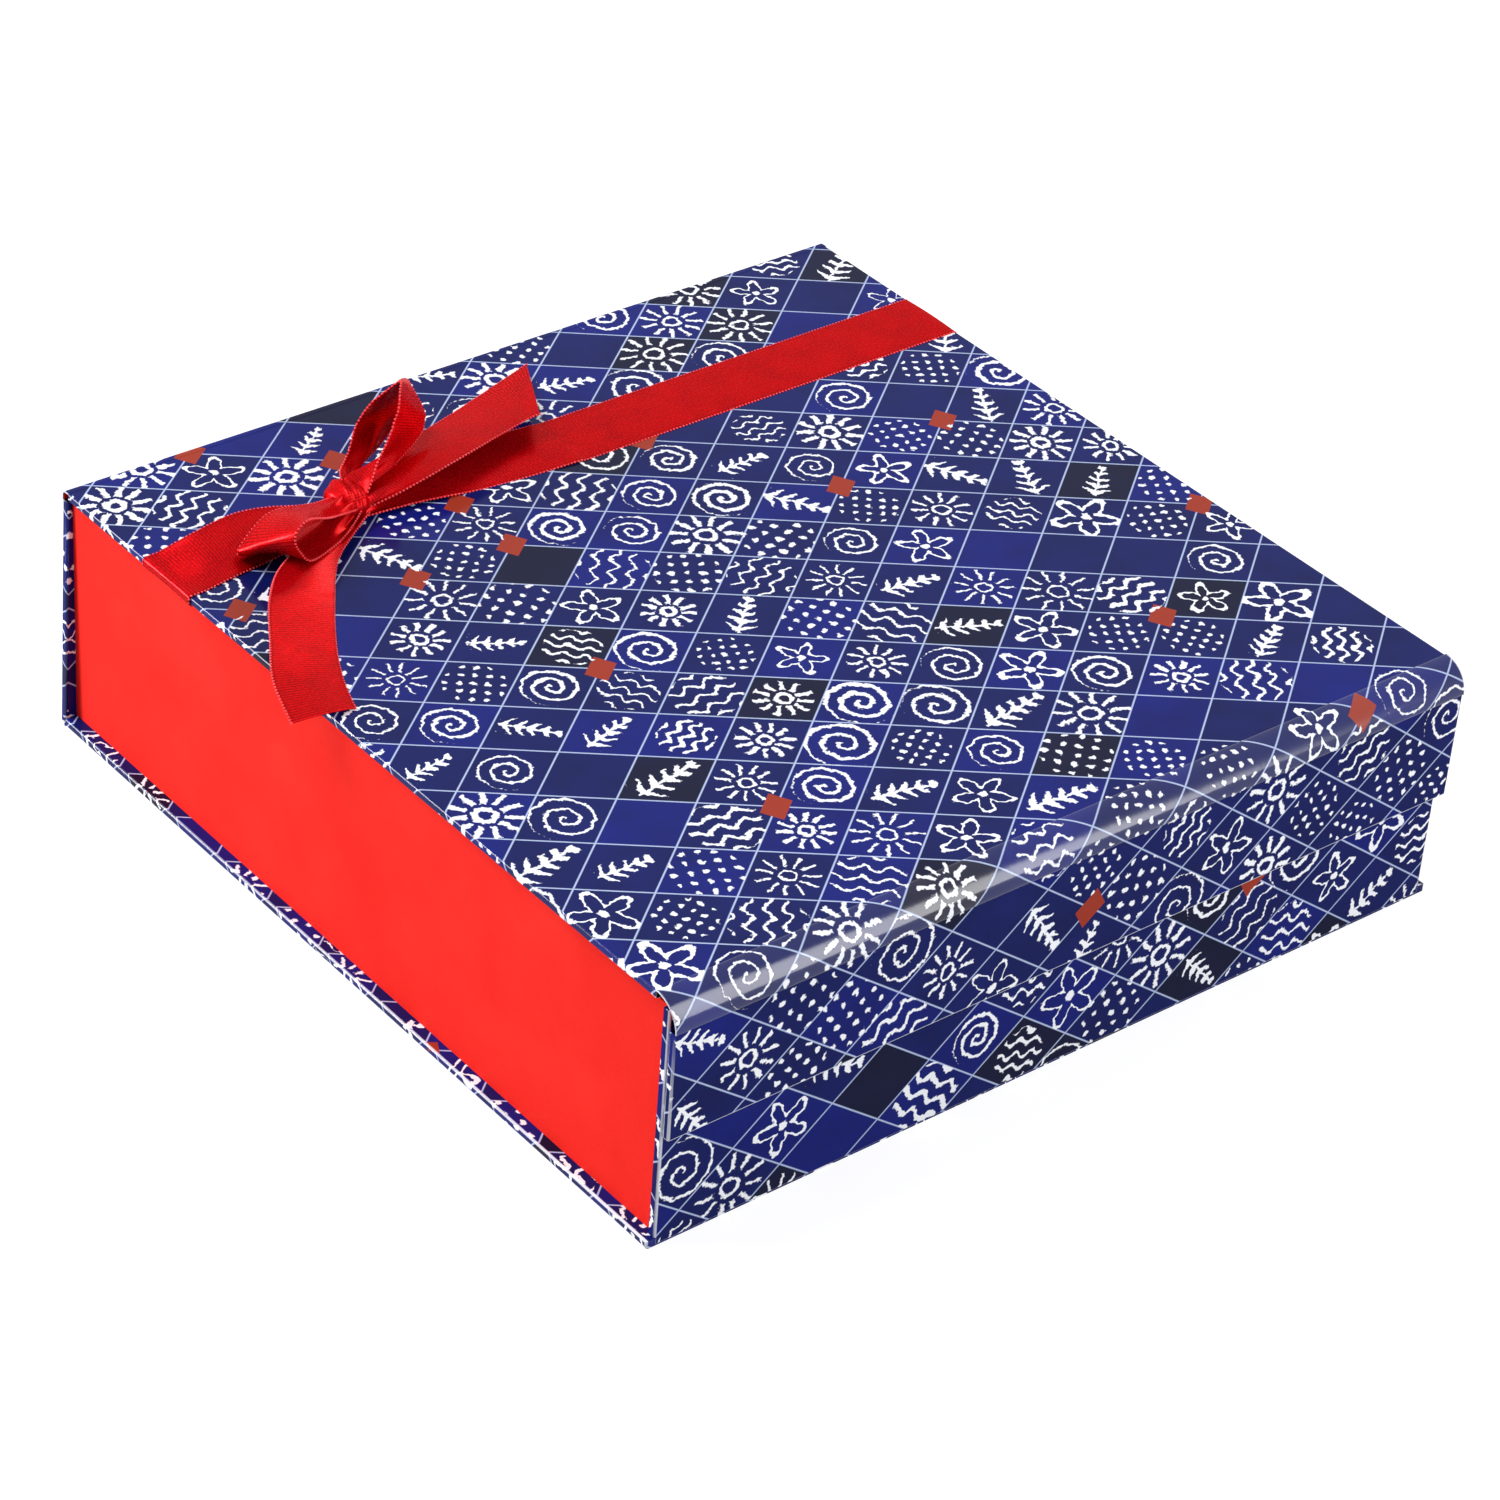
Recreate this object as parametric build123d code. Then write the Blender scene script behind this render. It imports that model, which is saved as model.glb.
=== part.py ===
import os
from math import pi

from build123d import *

# Closed box, measured over its printed cover: X along the front, Y to the spine, Z up
case_depth = 269.0
case_height = 74.5
lid_width = 260.0

# How far each panel's end stands out of the lid's end, or in from it
base_overhang = 2.0
front_panel_inset = 0.4
tray_inset = 1.6

# Stock that the box is made from
board = 2.0
cover_paper = 0.25
tray_paper = 0.2

# Lid, flap and their folds
flap_drop = 40.2
bend_radius = 8.0
hinge_radius = 1.5
hinge_setback = 3.0
lining_margin = 4.0
flap_gap = 0.55
lid_gap = 0.6
fold_gap = 0.4
base_turn_in = 15.0

# Magnets in the flap and the steel discs that they hold to
magnet_radius = 6.0
magnet_thickness = 1.5
disc_radius = 7.0
disc_thickness = 1.0
magnet_edge_distance = 55.0
magnet_rise = 14.0
glue_gap = 0.05

# Two layers of moulded cups
cup_count = 6
insert_head_room = 4.7
insert_clearance = 0.5
insert_wall = 0.6
cup_web = 5.5
cup_corner = 6.0
cup_taper = 5.0
pad_thickness = 2.0
pad_clearance = 0.8

# Chocolates: widths as shares of a cup's mouth, heights as shares of the insert's
square_width_share = 0.74
square_height_share = 0.6
dome_width_share = 0.765
dome_height_share = 0.72
oval_length_share = 0.79
oval_width_share = 0.61
oval_height_share = 0.57
finger_length_share = 0.77
finger_width_share = 0.46
finger_height_share = 0.6
flute_width_share = 0.77
flute_depth_share = 0.033
flute_height_share = 0.63
flute_count = 14
flute_taper = 8.0
hexagon_width_share = 0.8
hexagon_height_share = 0.57
chocolate_edge = 3.0
fine_edge = 0.8

# Ribbon, with the knot's middle set from the lid's left end and from the spine. The knot is tied from
# the ribbon's own width, so its sizes are shares of it
ribbon_width = 22.0
ribbon_thickness = 0.4
wrap_thickness = 0.3
knot_from_left = 56.0
knot_from_spine = 51.5
knot_rise_share = 0.236
knot_length_share = 0.545
knot_half_width_share = 0.336
knot_half_height_share = 0.209
knot_edge_share = 0.073
strip_steps = 5

# One overrun for every cut
overrun = 1.0

# Levels and faces that follow from the sizes above
panel = cover_paper + board + cover_paper
base_top = panel
lid_under = case_height - panel
rim = lid_under - lid_gap
spine_face = case_depth / 2
flap_face = -case_depth / 2
front_face = flap_face + panel + flap_gap
tray_front = front_face + cover_paper + board
tray_back = spine_face - panel
lid_front = flap_face + bend_radius
lid_back = spine_face - hinge_setback
spine_top = case_height - hinge_setback
flap_top = case_height - bend_radius
flap_bottom = case_height - flap_drop
lid_half = lid_width / 2
base_half = lid_half + base_overhang
front_half = lid_half - front_panel_inset
tray_half = lid_half - tray_inset
wall_half = tray_half - tray_paper
inner_half = wall_half - board - tray_paper
inner_front = tray_front + board + tray_paper
inner_back = tray_back - board - tray_paper
tray_floor = base_top + board + tray_paper
wall_top = rim - tray_paper
magnet_x = lid_half - magnet_edge_distance
knot_x = -lid_half + knot_from_left
knot_y = spine_face - knot_from_spine

# Ribbon pieces. Each row of a table is one station: the middle's place from the knot's foot and the
# half width, as shares of the ribbon's width, with the direction across the ribbon between them
left_loop_shares = [
    (0.05, 0.00, 0.36, (0, 1, -0.1), 0.23),
    (-0.52, -0.32, 0.58, (0.27, 0.92, -0.27), 0.33),
    (-1.18, -0.53, 0.73, (0.05, 0.92, -0.39), 0.47),
    (-1.53, -0.61, 0.50, (-0.21, 0.84, -0.49), 0.49),
    (-1.47, -0.60, 0.31, (-0.35, 0.84, -0.36), 0.45),
    (-1.20, -0.55, 0.25, (-0.19, 0.97, -0.15), 0.42),
    (-0.52, -0.35, 0.24, (-0.1, 1, -0.05), 0.30),
    (0.05, -0.07, 0.23, (0, 1, 0), 0.20),
]
back_loop_shares = [
    (0.00, 0.15, 0.29, (0.6, 0.7, -0.4), 0.16),
    (0.74, 0.66, 0.30, (0.85, 0.38, -0.38), 0.34),
    (1.14, 0.97, 0.50, (0.87, 0.33, -0.36), 0.48),
    (1.27, 1.02, 0.72, (0.76, 0.48, -0.42), 0.50),
    (1.51, 1.03, 0.93, (0.57, 0.67, -0.47), 0.50),
    (1.43, 0.78, 0.90, (0.64, 0.58, -0.5), 0.50),
    (1.33, 0.55, 0.71, (0.74, 0.45, -0.5), 0.50),
    (1.05, 0.38, 0.55, (0.78, 0.4, -0.45), 0.42),
    (0.14, 0.10, 0.33, (0.7, 0.6, -0.3), 0.16),
]
front_tail_shares = [
    (0.00, -0.20, 0.06, (0.8, -0.5, 0), 0.16),
    (-1.02, -0.77, 0.12, (0.93, -0.1, -0.22), 0.34),
    (-1.62, -1.48, 0.21, (0.92, 0.03, -0.38), 0.50),
    (-2.16, -2.30, 0.22, (0.92, 0.03, -0.36), 0.50),
    (-2.50, -2.91, 0.19, (0.94, 0, -0.3), 0.50),
    (-2.70, -3.52, 0.13, (0.97, 0.1, -0.2), 0.48),
]
right_tail_shares = [
    (0.14, 0.03, 0.16, (-0.25, 0.97, -0.1), 0.20),
    (0.77, 0.13, 0.28, (-0.25, 0.97, -0.15), 0.36),
    (1.64, 0.36, 0.30, (-0.25, 0.95, -0.22), 0.48),
    (2.64, 0.66, 0.27, (-0.2, 0.95, -0.2), 0.50),
    (3.43, 0.89, 0.27, (0.5, 0.86, -0.12), 0.77),
]
right_run_shares = [
    (0.09, 0.00, 0.10, (0, 1, 0), 0.20),
    (0.82, 0.07, 0.10, (0, 1, 0), 0.34),
    (1.91, 0.07, 0.06, (0, 1, 0.1), 0.46),
    (3.09, 0.00, 0.03, (0, 1, 0), 0.50),
]
left_run_shares = [
    (-0.05, 0.03, 0.15, (0, 1, 0), 0.20),
    (-0.55, 0.02, 0.17, (0, 0.93, 0.35), 0.26),
    (-1.27, 0.03, 0.17, (0, 0.95, 0.31), 0.40),
    (-1.95, -0.02, 0.13, (0, 0.97, 0.2), 0.43),
]


def slab(x, y, z):
    """A box between the low and high ends given along each axis."""
    size = [high - low for low, high in (x, y, z)]
    middle = [(high + low) / 2 for low, high in (x, y, z)]
    return Pos(*middle) * Box(*size)


def wide(half, y, z):
    """A box that is even about the middle plane."""
    return slab((-half, half), y, z)


# Case boards

def base_board():
    y = (front_face + cover_paper, spine_face - cover_paper)
    return wide(base_half - cover_paper, y, (cover_paper, cover_paper + board))


def front_board():
    y = (front_face + cover_paper, tray_front)
    block = wide(front_half - cover_paper, y, (base_top + fold_gap, rim - cover_paper))
    for x in (-magnet_x, magnet_x):
        block -= disc_pocket(x)
    return block


def spine_outline(inset, low, high, y):
    """A panel that narrows from the base's width to the lid's, cut out between two levels."""
    foot = base_half - inset
    head = lid_half - inset
    points = [(-foot, 0), (foot, 0), (head, spine_top), (-head, spine_top)]
    face = Plane.XZ * make_face(Polyline(*points, close=True))
    block = Pos(0, y[1], 0) * extrude(face, amount=y[1] - y[0])
    return block & wide(base_half, y, (low, high))


def spine_board():
    y = (spine_face - cover_paper - board, spine_face - cover_paper)
    return spine_outline(cover_paper, base_top + fold_gap, spine_top, y)


def lid_board():
    z = (lid_under + cover_paper, case_height - cover_paper)
    return wide(lid_half - cover_paper, (lid_front, lid_back), z)


def flap_board():
    y = (flap_face + cover_paper, flap_face + cover_paper + board)
    block = wide(lid_half - cover_paper, y, (flap_bottom + cover_paper, flap_top))
    for x in (-magnet_x, magnet_x):
        block -= magnet_pocket(x)
    return block


# Magnets, let into the flap from inside, and discs let into the front panel from outside

def round_plate(x, y, radius, thickness):
    """A disc that lies flat in a board, with its front face at y."""
    foot = Plane(origin=(x, y, flap_bottom + magnet_rise), x_dir=(1, 0, 0), z_dir=(0, 1, 0))
    return extrude(foot * Circle(radius), amount=thickness)


def magnet_pocket(x):
    depth = magnet_thickness + glue_gap
    y = flap_face + cover_paper + board - depth
    return round_plate(x, y, magnet_radius + glue_gap, depth + overrun)


def disc_pocket(x):
    depth = disc_thickness + glue_gap
    y = front_face + cover_paper + depth
    return round_plate(x, y - depth - overrun, disc_radius + glue_gap, depth + overrun)


def flap_magnets():
    y = flap_face + cover_paper + board - magnet_thickness
    return [round_plate(x, y, magnet_radius, magnet_thickness) for x in (-magnet_x, magnet_x)]


def steel_discs():
    y = front_face + cover_paper
    return [round_plate(x, y, disc_radius, disc_thickness) for x in (-magnet_x, magnet_x)]


# Printed cover sheet, in the stretches between its folds

def base_cover():
    """The sheet under the base board, round its two ends and turned in over them."""
    whole = wide(base_half, (front_face, spine_face), (0, base_top))
    cut_z = (-overrun, base_top + overrun)
    window_z = (cover_paper + board, base_top + overrun)
    front_strip = wide(front_half, (front_face - overrun, front_face + cover_paper), cut_z)
    back_strip = wide(base_half + overrun, (spine_face - cover_paper, spine_face + overrun), cut_z)
    window = wide(base_half - base_turn_in, (front_face + cover_paper, spine_face - base_turn_in), window_z)
    front_window = wide(front_half, (front_face, front_face + base_turn_in), window_z)
    return whole - base_board() - front_strip - back_strip - window - front_window


def front_cover():
    sheet = wide(front_half, (front_face, front_face + cover_paper), (0, rim))
    wrap = wide(front_half, (front_face + cover_paper, tray_front), (base_top, rim))
    core_z = (base_top - overrun, rim - cover_paper)
    core = wide(front_half - cover_paper, (front_face, tray_front + overrun), core_z)
    return sheet + (wrap - core)


def spine_cover():
    whole = spine_outline(0, 0, spine_top, (tray_back, spine_face))
    board_y = (spine_face - cover_paper - board, spine_face - cover_paper)
    core = spine_outline(cover_paper, base_top, spine_top, board_y)
    foot = wide(base_half + overrun, (tray_back - overrun, spine_face - cover_paper), (-overrun, base_top))
    window_y = (tray_back - overrun, spine_face - cover_paper - board)
    window = spine_outline(base_turn_in, 0, spine_top, window_y)
    return whole - core - foot - window


def lid_cover():
    whole = wide(lid_half, (lid_front, lid_back), (lid_under, case_height))
    y = (lid_front - overrun, lid_back + overrun)
    core = wide(lid_half - cover_paper, y, (lid_under + cover_paper, case_height - cover_paper))
    window = wide(lid_half - lining_margin, y, (lid_under - overrun, lid_under + cover_paper))
    return whole - core - window


def flap_cover():
    y = (flap_face, flap_face + panel)
    whole = wide(lid_half, y, (flap_bottom, flap_top))
    core_y = (flap_face + cover_paper, flap_face + cover_paper + board)
    core = wide(lid_half - cover_paper, core_y, (flap_bottom + cover_paper, flap_top + overrun))
    window_y = (core_y[1], y[1] + overrun)
    window = wide(lid_half - lining_margin, window_y, (flap_bottom + lining_margin, flap_top + overrun))
    return whole - core - window


def fold_arc(half, toward, radius, inset):
    """Sheet round a fold at the top of the case, towards the spine (1) or towards the flap (-1)."""
    y_middle = toward * (spine_face - radius)
    z_middle = case_height - radius
    roll = Cylinder(radius - inset, 2 * half) - Cylinder(radius - inset - cover_paper, 2 * half + overrun)
    y = sorted((y_middle, toward * spine_face))
    return (Pos(0, y_middle, z_middle) * Rot(0, 90, 0) * roll) & wide(half, y, (z_middle, case_height))


def hinge_band(half, inset):
    """Sheet over the back fold, with the short flats that join it to the lid and to the spine."""
    arc_end = hinge_setback - hinge_radius
    y_out = spine_face - inset
    z_out = case_height - inset
    over = wide(half, (lid_back, lid_back + arc_end), (z_out - cover_paper, z_out))
    down = wide(half, (y_out - cover_paper, y_out), (spine_top, spine_top + arc_end))
    return over + fold_arc(half, 1, hinge_radius, inset) + down


def bend_cover():
    return fold_arc(lid_half, -1, bend_radius, 0)


def bend_lining():
    return fold_arc(lid_half - cover_paper, -1, bend_radius, cover_paper)


def hinge_cover():
    return hinge_band(lid_half, 0)


def hinge_lining():
    return hinge_band(lid_half - cover_paper, cover_paper)


# Lining sheets

def lid_lining():
    return wide(lid_half - lining_margin, (lid_front, lid_back), (lid_under, lid_under + cover_paper))


def flap_lining():
    y = (flap_face + cover_paper + board, flap_face + panel)
    return wide(lid_half - lining_margin, y, (flap_bottom + lining_margin, flap_top))


# Tray: four walls on a floor, papered red

def tray_bottom():
    return wide(wall_half, (tray_front, tray_back), (base_top, base_top + board))


def tray_side(side):
    x = sorted((side * wall_half, side * (wall_half - board)))
    return slab(x, (tray_front + board, tray_back - board), (base_top + board, wall_top))


def tray_end(y_low):
    return wide(wall_half, (y_low, y_low + board), (base_top + board, wall_top))


def side_paper(side):
    """One sheet up the outside of a side wall, over its rim and down the inside."""
    x_out = sorted((side * wall_half, side * tray_half))
    x_in = sorted((side * inner_half, side * (inner_half + tray_paper)))
    x_rim = sorted((side * (inner_half + tray_paper), side * wall_half))
    outside = slab(x_out, (tray_front, tray_back), (base_top, rim))
    over = slab(x_rim, (tray_front, tray_back), (wall_top, rim))
    inside = slab(x_in, (inner_front, inner_back), (base_top + board, wall_top))
    inside += slab(x_in, (tray_front, tray_back), (wall_top, rim))
    return outside + over + inside


def end_paper(y_wall, y_inner):
    """One sheet over the rim of an end wall and down its inside, between the side sheets."""
    rim_y = sorted((y_wall, y_inner))
    sheet_y = sorted((y_inner, y_inner + (tray_paper if y_wall > y_inner else -tray_paper)))
    over = wide(inner_half, rim_y, (wall_top, rim))
    return over + wide(inner_half + tray_paper, sheet_y, (base_top + board, wall_top))


def floor_paper():
    return wide(inner_half, (inner_front, inner_back), (base_top + board, tray_floor))


# Inserts and pad

insert_height = (rim - insert_head_room - tray_floor - pad_thickness) / 2
insert_half = inner_half - insert_clearance
insert_y = (inner_front + insert_clearance, inner_back - insert_clearance)
pitch_x = 2 * insert_half / cup_count
pitch_y = (insert_y[1] - insert_y[0]) / cup_count
cup_x = pitch_x - cup_web
cup_y = pitch_y - cup_web
cup_mouth = min(cup_x, cup_y)
lower_foot = tray_floor
upper_foot = tray_floor + insert_height + pad_thickness


def cell_middle(column, row):
    x = -insert_half + (column + 0.5) * pitch_x
    y = insert_y[0] + (row + 0.5) * pitch_y
    return x, y


def cup_outline(shrink):
    return RectangleRounded(cup_x - 2 * shrink, cup_y - 2 * shrink, cup_corner - shrink)


def cup(shrink, low, high):
    """A rounded cup that narrows downwards."""
    return Pos(0, 0, high) * extrude(cup_outline(shrink), amount=low - high, taper=cup_taper)


def insert_tray(foot):
    """A moulded sheet: a flat top with a skirt and a grid of cups down to the floor."""
    top = foot + insert_height
    sheet = wide(insert_half, insert_y, (foot, top))
    inside_y = (insert_y[0] + insert_wall, insert_y[1] - insert_wall)
    sheet -= wide(insert_half - insert_wall, inside_y, (foot - overrun, top - insert_wall))
    outer = cup(0, foot, top)
    inner = cup(insert_wall, foot + insert_wall, top)
    inner += Pos(0, 0, top) * extrude(cup_outline(insert_wall), amount=overrun)
    places = [cell_middle(c, r) for c in range(cup_count) for r in range(cup_count)]
    sheet = sheet.fuse(*[Pos(x, y, 0) * outer for x, y in places])
    return sheet.cut(*[Pos(x, y, 0) * inner for x, y in places])


def layer_pad():
    y = (insert_y[0] + pad_clearance, insert_y[1] - pad_clearance)
    z = (lower_foot + insert_height, lower_foot + insert_height + pad_thickness)
    return wide(insert_half - pad_clearance, y, z)


# Chocolates, each standing on its own foot

def moulded_praline(outline, height_share):
    """A flat-footed block on an outline, with a rounded top edge."""
    block = extrude(outline, amount=height_share * insert_height)
    return fillet(block.faces().sort_by(Axis.Z)[-1].edges(), chocolate_edge)


def square_praline():
    side = square_width_share * cup_mouth
    return moulded_praline(RectangleRounded(side, side, chocolate_edge), square_height_share)


def dome_truffle():
    radius = dome_width_share * cup_mouth / 2
    shoulder = dome_height_share * insert_height - radius
    block = extrude(Circle(radius), amount=shoulder) + Pos(0, 0, shoulder) * Sphere(radius)
    return block & Pos(0, 0, radius + shoulder) * Box(3 * radius, 3 * radius, 2 * (radius + shoulder))


def oval_praline():
    outline = Ellipse(oval_length_share * cup_mouth / 2, oval_width_share * cup_mouth / 2)
    return moulded_praline(outline, oval_height_share)


def finger_praline():
    length = finger_length_share * cup_mouth
    outline = RectangleRounded(length, finger_width_share * cup_mouth, chocolate_edge)
    return moulded_praline(outline, finger_height_share)


def fluted_praline():
    """A turned cup shape with even ribs up its side."""
    radius = flute_width_share * cup_mouth / 2
    height = flute_height_share * insert_height
    core = radius - flute_depth_share * cup_mouth
    body = extrude(Circle(core), amount=height, taper=flute_taper)
    body = fillet(body.faces().sort_by(Axis.Z)[-1].edges(), fine_edge)
    rib = extrude(Circle(core * pi / flute_count / 2), amount=height)
    first = Pos(core, 0, 0) * Rot(0, -flute_taper, 0) * rib
    ribs = [Rot(0, 0, i * 360 / flute_count) * first for i in range(flute_count)]
    keep = Pos(0, 0, height / 2) * Box(3 * radius, 3 * radius, height)
    return body.fuse(*ribs) & keep


def hexagon_praline():
    outline = RegularPolygon(hexagon_width_share * cup_mouth / 2, 6)
    block = extrude(outline, amount=hexagon_height_share * insert_height)
    return chamfer(block.faces().sort_by(Axis.Z)[-1].edges(), chocolate_edge)


chocolates = {
    "square_pralines": square_praline,
    "dome_truffles": dome_truffle,
    "oval_pralines": oval_praline,
    "finger_pralines": finger_praline,
    "fluted_pralines": fluted_praline,
    "hexagon_pralines": hexagon_praline,
}


def chocolate_set(index, shape):
    """One kind in every layer: it moves two columns on from each row to the next."""
    piece = shape()
    places = []
    for foot in (lower_foot, upper_foot):
        for row in range(cup_count):
            for column in range(cup_count):
                if (column + 2 * row) % len(chocolates) == index:
                    x, y = cell_middle(column, row)
                    places.append(Pos(x, y, foot + insert_wall) * piece)
    return places


# Ribbon

def smooth_steps(rows):
    """Stations between the given ones, on a smooth curve through them."""
    found = []
    for i in range(len(rows) - 1):
        before = rows[max(i - 1, 0)]
        after = rows[min(i + 2, len(rows) - 1)]
        for k in range(strip_steps):
            t = k / strip_steps
            near = [-t + 2 * t**2 - t**3, 2 - 5 * t**2 + 3 * t**3]
            far = [t + 4 * t**2 - 3 * t**3, t**3 - t**2]
            around = zip(before, rows[i], rows[i + 1], after)
            found.append([sum(w * v for w, v in zip(near + far, four)) / 2 for four in around])
    return found + [list(rows[-1])]


def ribbon_strip(shares, end=None):
    """A thin strip of ribbon through its stations, each a thin rectangle across the strip."""
    rows = []
    for x, y, z, across, half in shares:
        side = Vector(*across).normalized() * half * ribbon_width
        rows.append([x * ribbon_width, y * ribbon_width, z * ribbon_width, side.X, side.Y, side.Z])
    if end:
        rows.append(end)
    rows = smooth_steps(rows)
    middles = [Vector(*row[:3]) for row in rows]
    sides = [Vector(*row[3:]) for row in rows]
    faces = []
    for i, (middle, side) in enumerate(zip(middles, sides)):
        along = middles[min(i + 1, len(middles) - 1)] - middles[max(i - 1, 0)]
        lift = side.cross(along).normalized() * (ribbon_thickness / 2)
        corners = [middle - side - lift, middle + side - lift, middle + side + lift, middle - side + lift]
        faces.append(make_face(Polyline(*corners, close=True)))
    strip = loft(faces, ruled=True)
    return Pos(knot_x, knot_y, case_height) * strip


def edge_station(x):
    """The last station of a run, flat on the lid at its edge."""
    return [x - knot_x, 0, ribbon_thickness / 2, 0, ribbon_width / 2, 0]


def ribbon_knot():
    """A drum that is oval from the end, lying along the runs."""
    outline = Ellipse(knot_half_width_share * ribbon_width, knot_half_height_share * ribbon_width)
    drum = extrude(Plane.YZ * outline, amount=knot_length_share * ribbon_width / 2, both=True)
    drum = fillet(drum.edges(), knot_edge_share * ribbon_width)
    return Pos(knot_x, knot_y, case_height + knot_rise_share * ribbon_width) * drum


def ribbon_wrap():
    """The ribbon round both edges of the lid and across its underside."""
    y = (knot_y - ribbon_width / 2, knot_y + ribbon_width / 2)
    top = case_height + ribbon_thickness
    whole = wide(lid_half + wrap_thickness, y, (lid_under - wrap_thickness, top))
    core = wide(lid_half, (y[0] - overrun, y[1] + overrun), (lid_under, top + overrun))
    return whole - core


def right_run():
    return ribbon_strip(right_run_shares, edge_station(lid_half))


def left_run():
    return ribbon_strip(left_run_shares, edge_station(-lid_half)) - ribbon_wrap()


def all_pieces():
    """Every sub-part of the box by name."""
    knot = ribbon_knot()
    pieces = {
        "base_board": base_board(),
        "front_board": front_board(),
        "spine_board": spine_board(),
        "lid_board": lid_board(),
        "flap_board": flap_board(),
        "base_cover_sheet": base_cover(),
        "front_cover_sheet": front_cover(),
        "spine_cover_sheet": spine_cover(),
        "lid_cover_sheet": lid_cover(),
        "flap_cover_sheet": flap_cover(),
        "flap_bend_sheet": bend_cover(),
        "flap_bend_lining": bend_lining(),
        "lid_hinge_sheet": hinge_cover(),
        "lid_hinge_lining": hinge_lining(),
        "lid_lining": lid_lining(),
        "flap_lining": flap_lining(),
        "flap_magnets": flap_magnets(),
        "front_steel_discs": steel_discs(),
        "tray_bottom": tray_bottom(),
        "tray_left_wall": tray_side(-1),
        "tray_right_wall": tray_side(1),
        "tray_front_wall": tray_end(tray_front),
        "tray_back_wall": tray_end(tray_back - board),
        "tray_left_paper": side_paper(-1),
        "tray_right_paper": side_paper(1),
        "tray_front_paper": end_paper(tray_front, inner_front),
        "tray_back_paper": end_paper(tray_back, inner_back),
        "tray_floor_paper": floor_paper(),
        "lower_insert": insert_tray(lower_foot),
        "layer_pad": layer_pad(),
        "upper_insert": insert_tray(upper_foot),
        "ribbon_wrap": ribbon_wrap(),
        "ribbon_knot": knot,
        "ribbon_right_run": right_run() - knot,
        "ribbon_left_run": left_run() - knot,
        "ribbon_left_loop": ribbon_strip(left_loop_shares) - knot,
        "ribbon_back_loop": ribbon_strip(back_loop_shares) - knot,
        "ribbon_front_tail": ribbon_strip(front_tail_shares) - knot,
        "ribbon_right_tail": ribbon_strip(right_tail_shares) - knot,
    }
    for index, (name, shape) in enumerate(chocolates.items()):
        pieces[name] = chocolate_set(index, shape)
    return pieces


os.makedirs("parts", exist_ok=True)
for name, piece in all_pieces().items():
    solids = [s for part in piece for s in part.solids()] if isinstance(piece, list) else piece.solids()
    shape = Compound(children=list(solids)) if len(solids) > 1 else solids[0]
    export_step(shape, os.path.join("parts", name + ".step"))
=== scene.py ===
import math

import bmesh
import bpy
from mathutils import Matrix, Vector


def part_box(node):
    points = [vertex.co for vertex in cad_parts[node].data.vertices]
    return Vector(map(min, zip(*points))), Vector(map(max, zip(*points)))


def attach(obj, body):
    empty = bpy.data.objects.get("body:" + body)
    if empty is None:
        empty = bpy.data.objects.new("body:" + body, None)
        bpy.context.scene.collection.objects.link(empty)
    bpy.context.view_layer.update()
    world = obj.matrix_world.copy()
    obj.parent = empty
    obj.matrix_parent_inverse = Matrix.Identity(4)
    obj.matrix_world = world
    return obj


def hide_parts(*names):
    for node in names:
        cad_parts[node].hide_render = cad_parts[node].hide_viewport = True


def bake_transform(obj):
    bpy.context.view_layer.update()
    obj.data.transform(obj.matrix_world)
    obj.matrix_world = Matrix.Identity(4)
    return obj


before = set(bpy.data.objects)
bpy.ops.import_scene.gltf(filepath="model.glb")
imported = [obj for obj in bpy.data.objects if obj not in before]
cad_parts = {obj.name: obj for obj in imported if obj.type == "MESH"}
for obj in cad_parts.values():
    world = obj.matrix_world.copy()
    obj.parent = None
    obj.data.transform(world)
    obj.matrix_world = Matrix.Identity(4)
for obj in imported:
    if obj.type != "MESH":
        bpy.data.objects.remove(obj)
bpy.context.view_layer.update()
mm = 0.001
print("frame loaded")


def hexToLinear(code):
    parts = [int(code[i:i + 2], 16) / 255 for i in (0, 2, 4)]
    return [c / 12.92 if c <= 0.04045 else ((c + 0.055) / 1.055) ** 2.4 for c in parts] + [1.0]


def addNode(tree, kind, links=None, **settings):
    node = tree.nodes.new(kind)
    for key, value in settings.items():
        setattr(node, key, value)
    for key, value in (links or {}).items():
        socket = node.inputs[key]
        if isinstance(value, bpy.types.NodeSocket):
            tree.links.new(value, socket)
        else:
            socket.default_value = value
    return node


def addRows(tree, found, rows):
    # each row: the result's name, the kind of node with its operation, then its inputs in order. A text
    # input is an earlier result, and a node's second and third results end in 2 and 3
    for name, kind, *values in rows:
        kind, *operation = kind.split()
        links = {i: found[v] if isinstance(v, str) else v for i, v in enumerate(values)}
        settings = {"operation": operation[0]} if operation else {}
        node = addNode(tree, "ShaderNode" + kind, links, **settings)
        for i, output in enumerate(o for o in node.outputs if o.enabled):
            found[name + (str(i + 1) if i else "")] = output


def startMaterial(name):
    material = bpy.data.materials.new(name)
    material.use_nodes = True
    material.node_tree.nodes.clear()
    return material, material.node_tree


def endMaterial(tree, shader):
    addNode(tree, "ShaderNodeOutputMaterial", {"Surface": shader.outputs[0]})


def linkPiece(name, mesh):
    piece = bpy.data.objects.new(name, mesh)
    bpy.context.scene.collection.objects.link(piece)
    return piece


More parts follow.
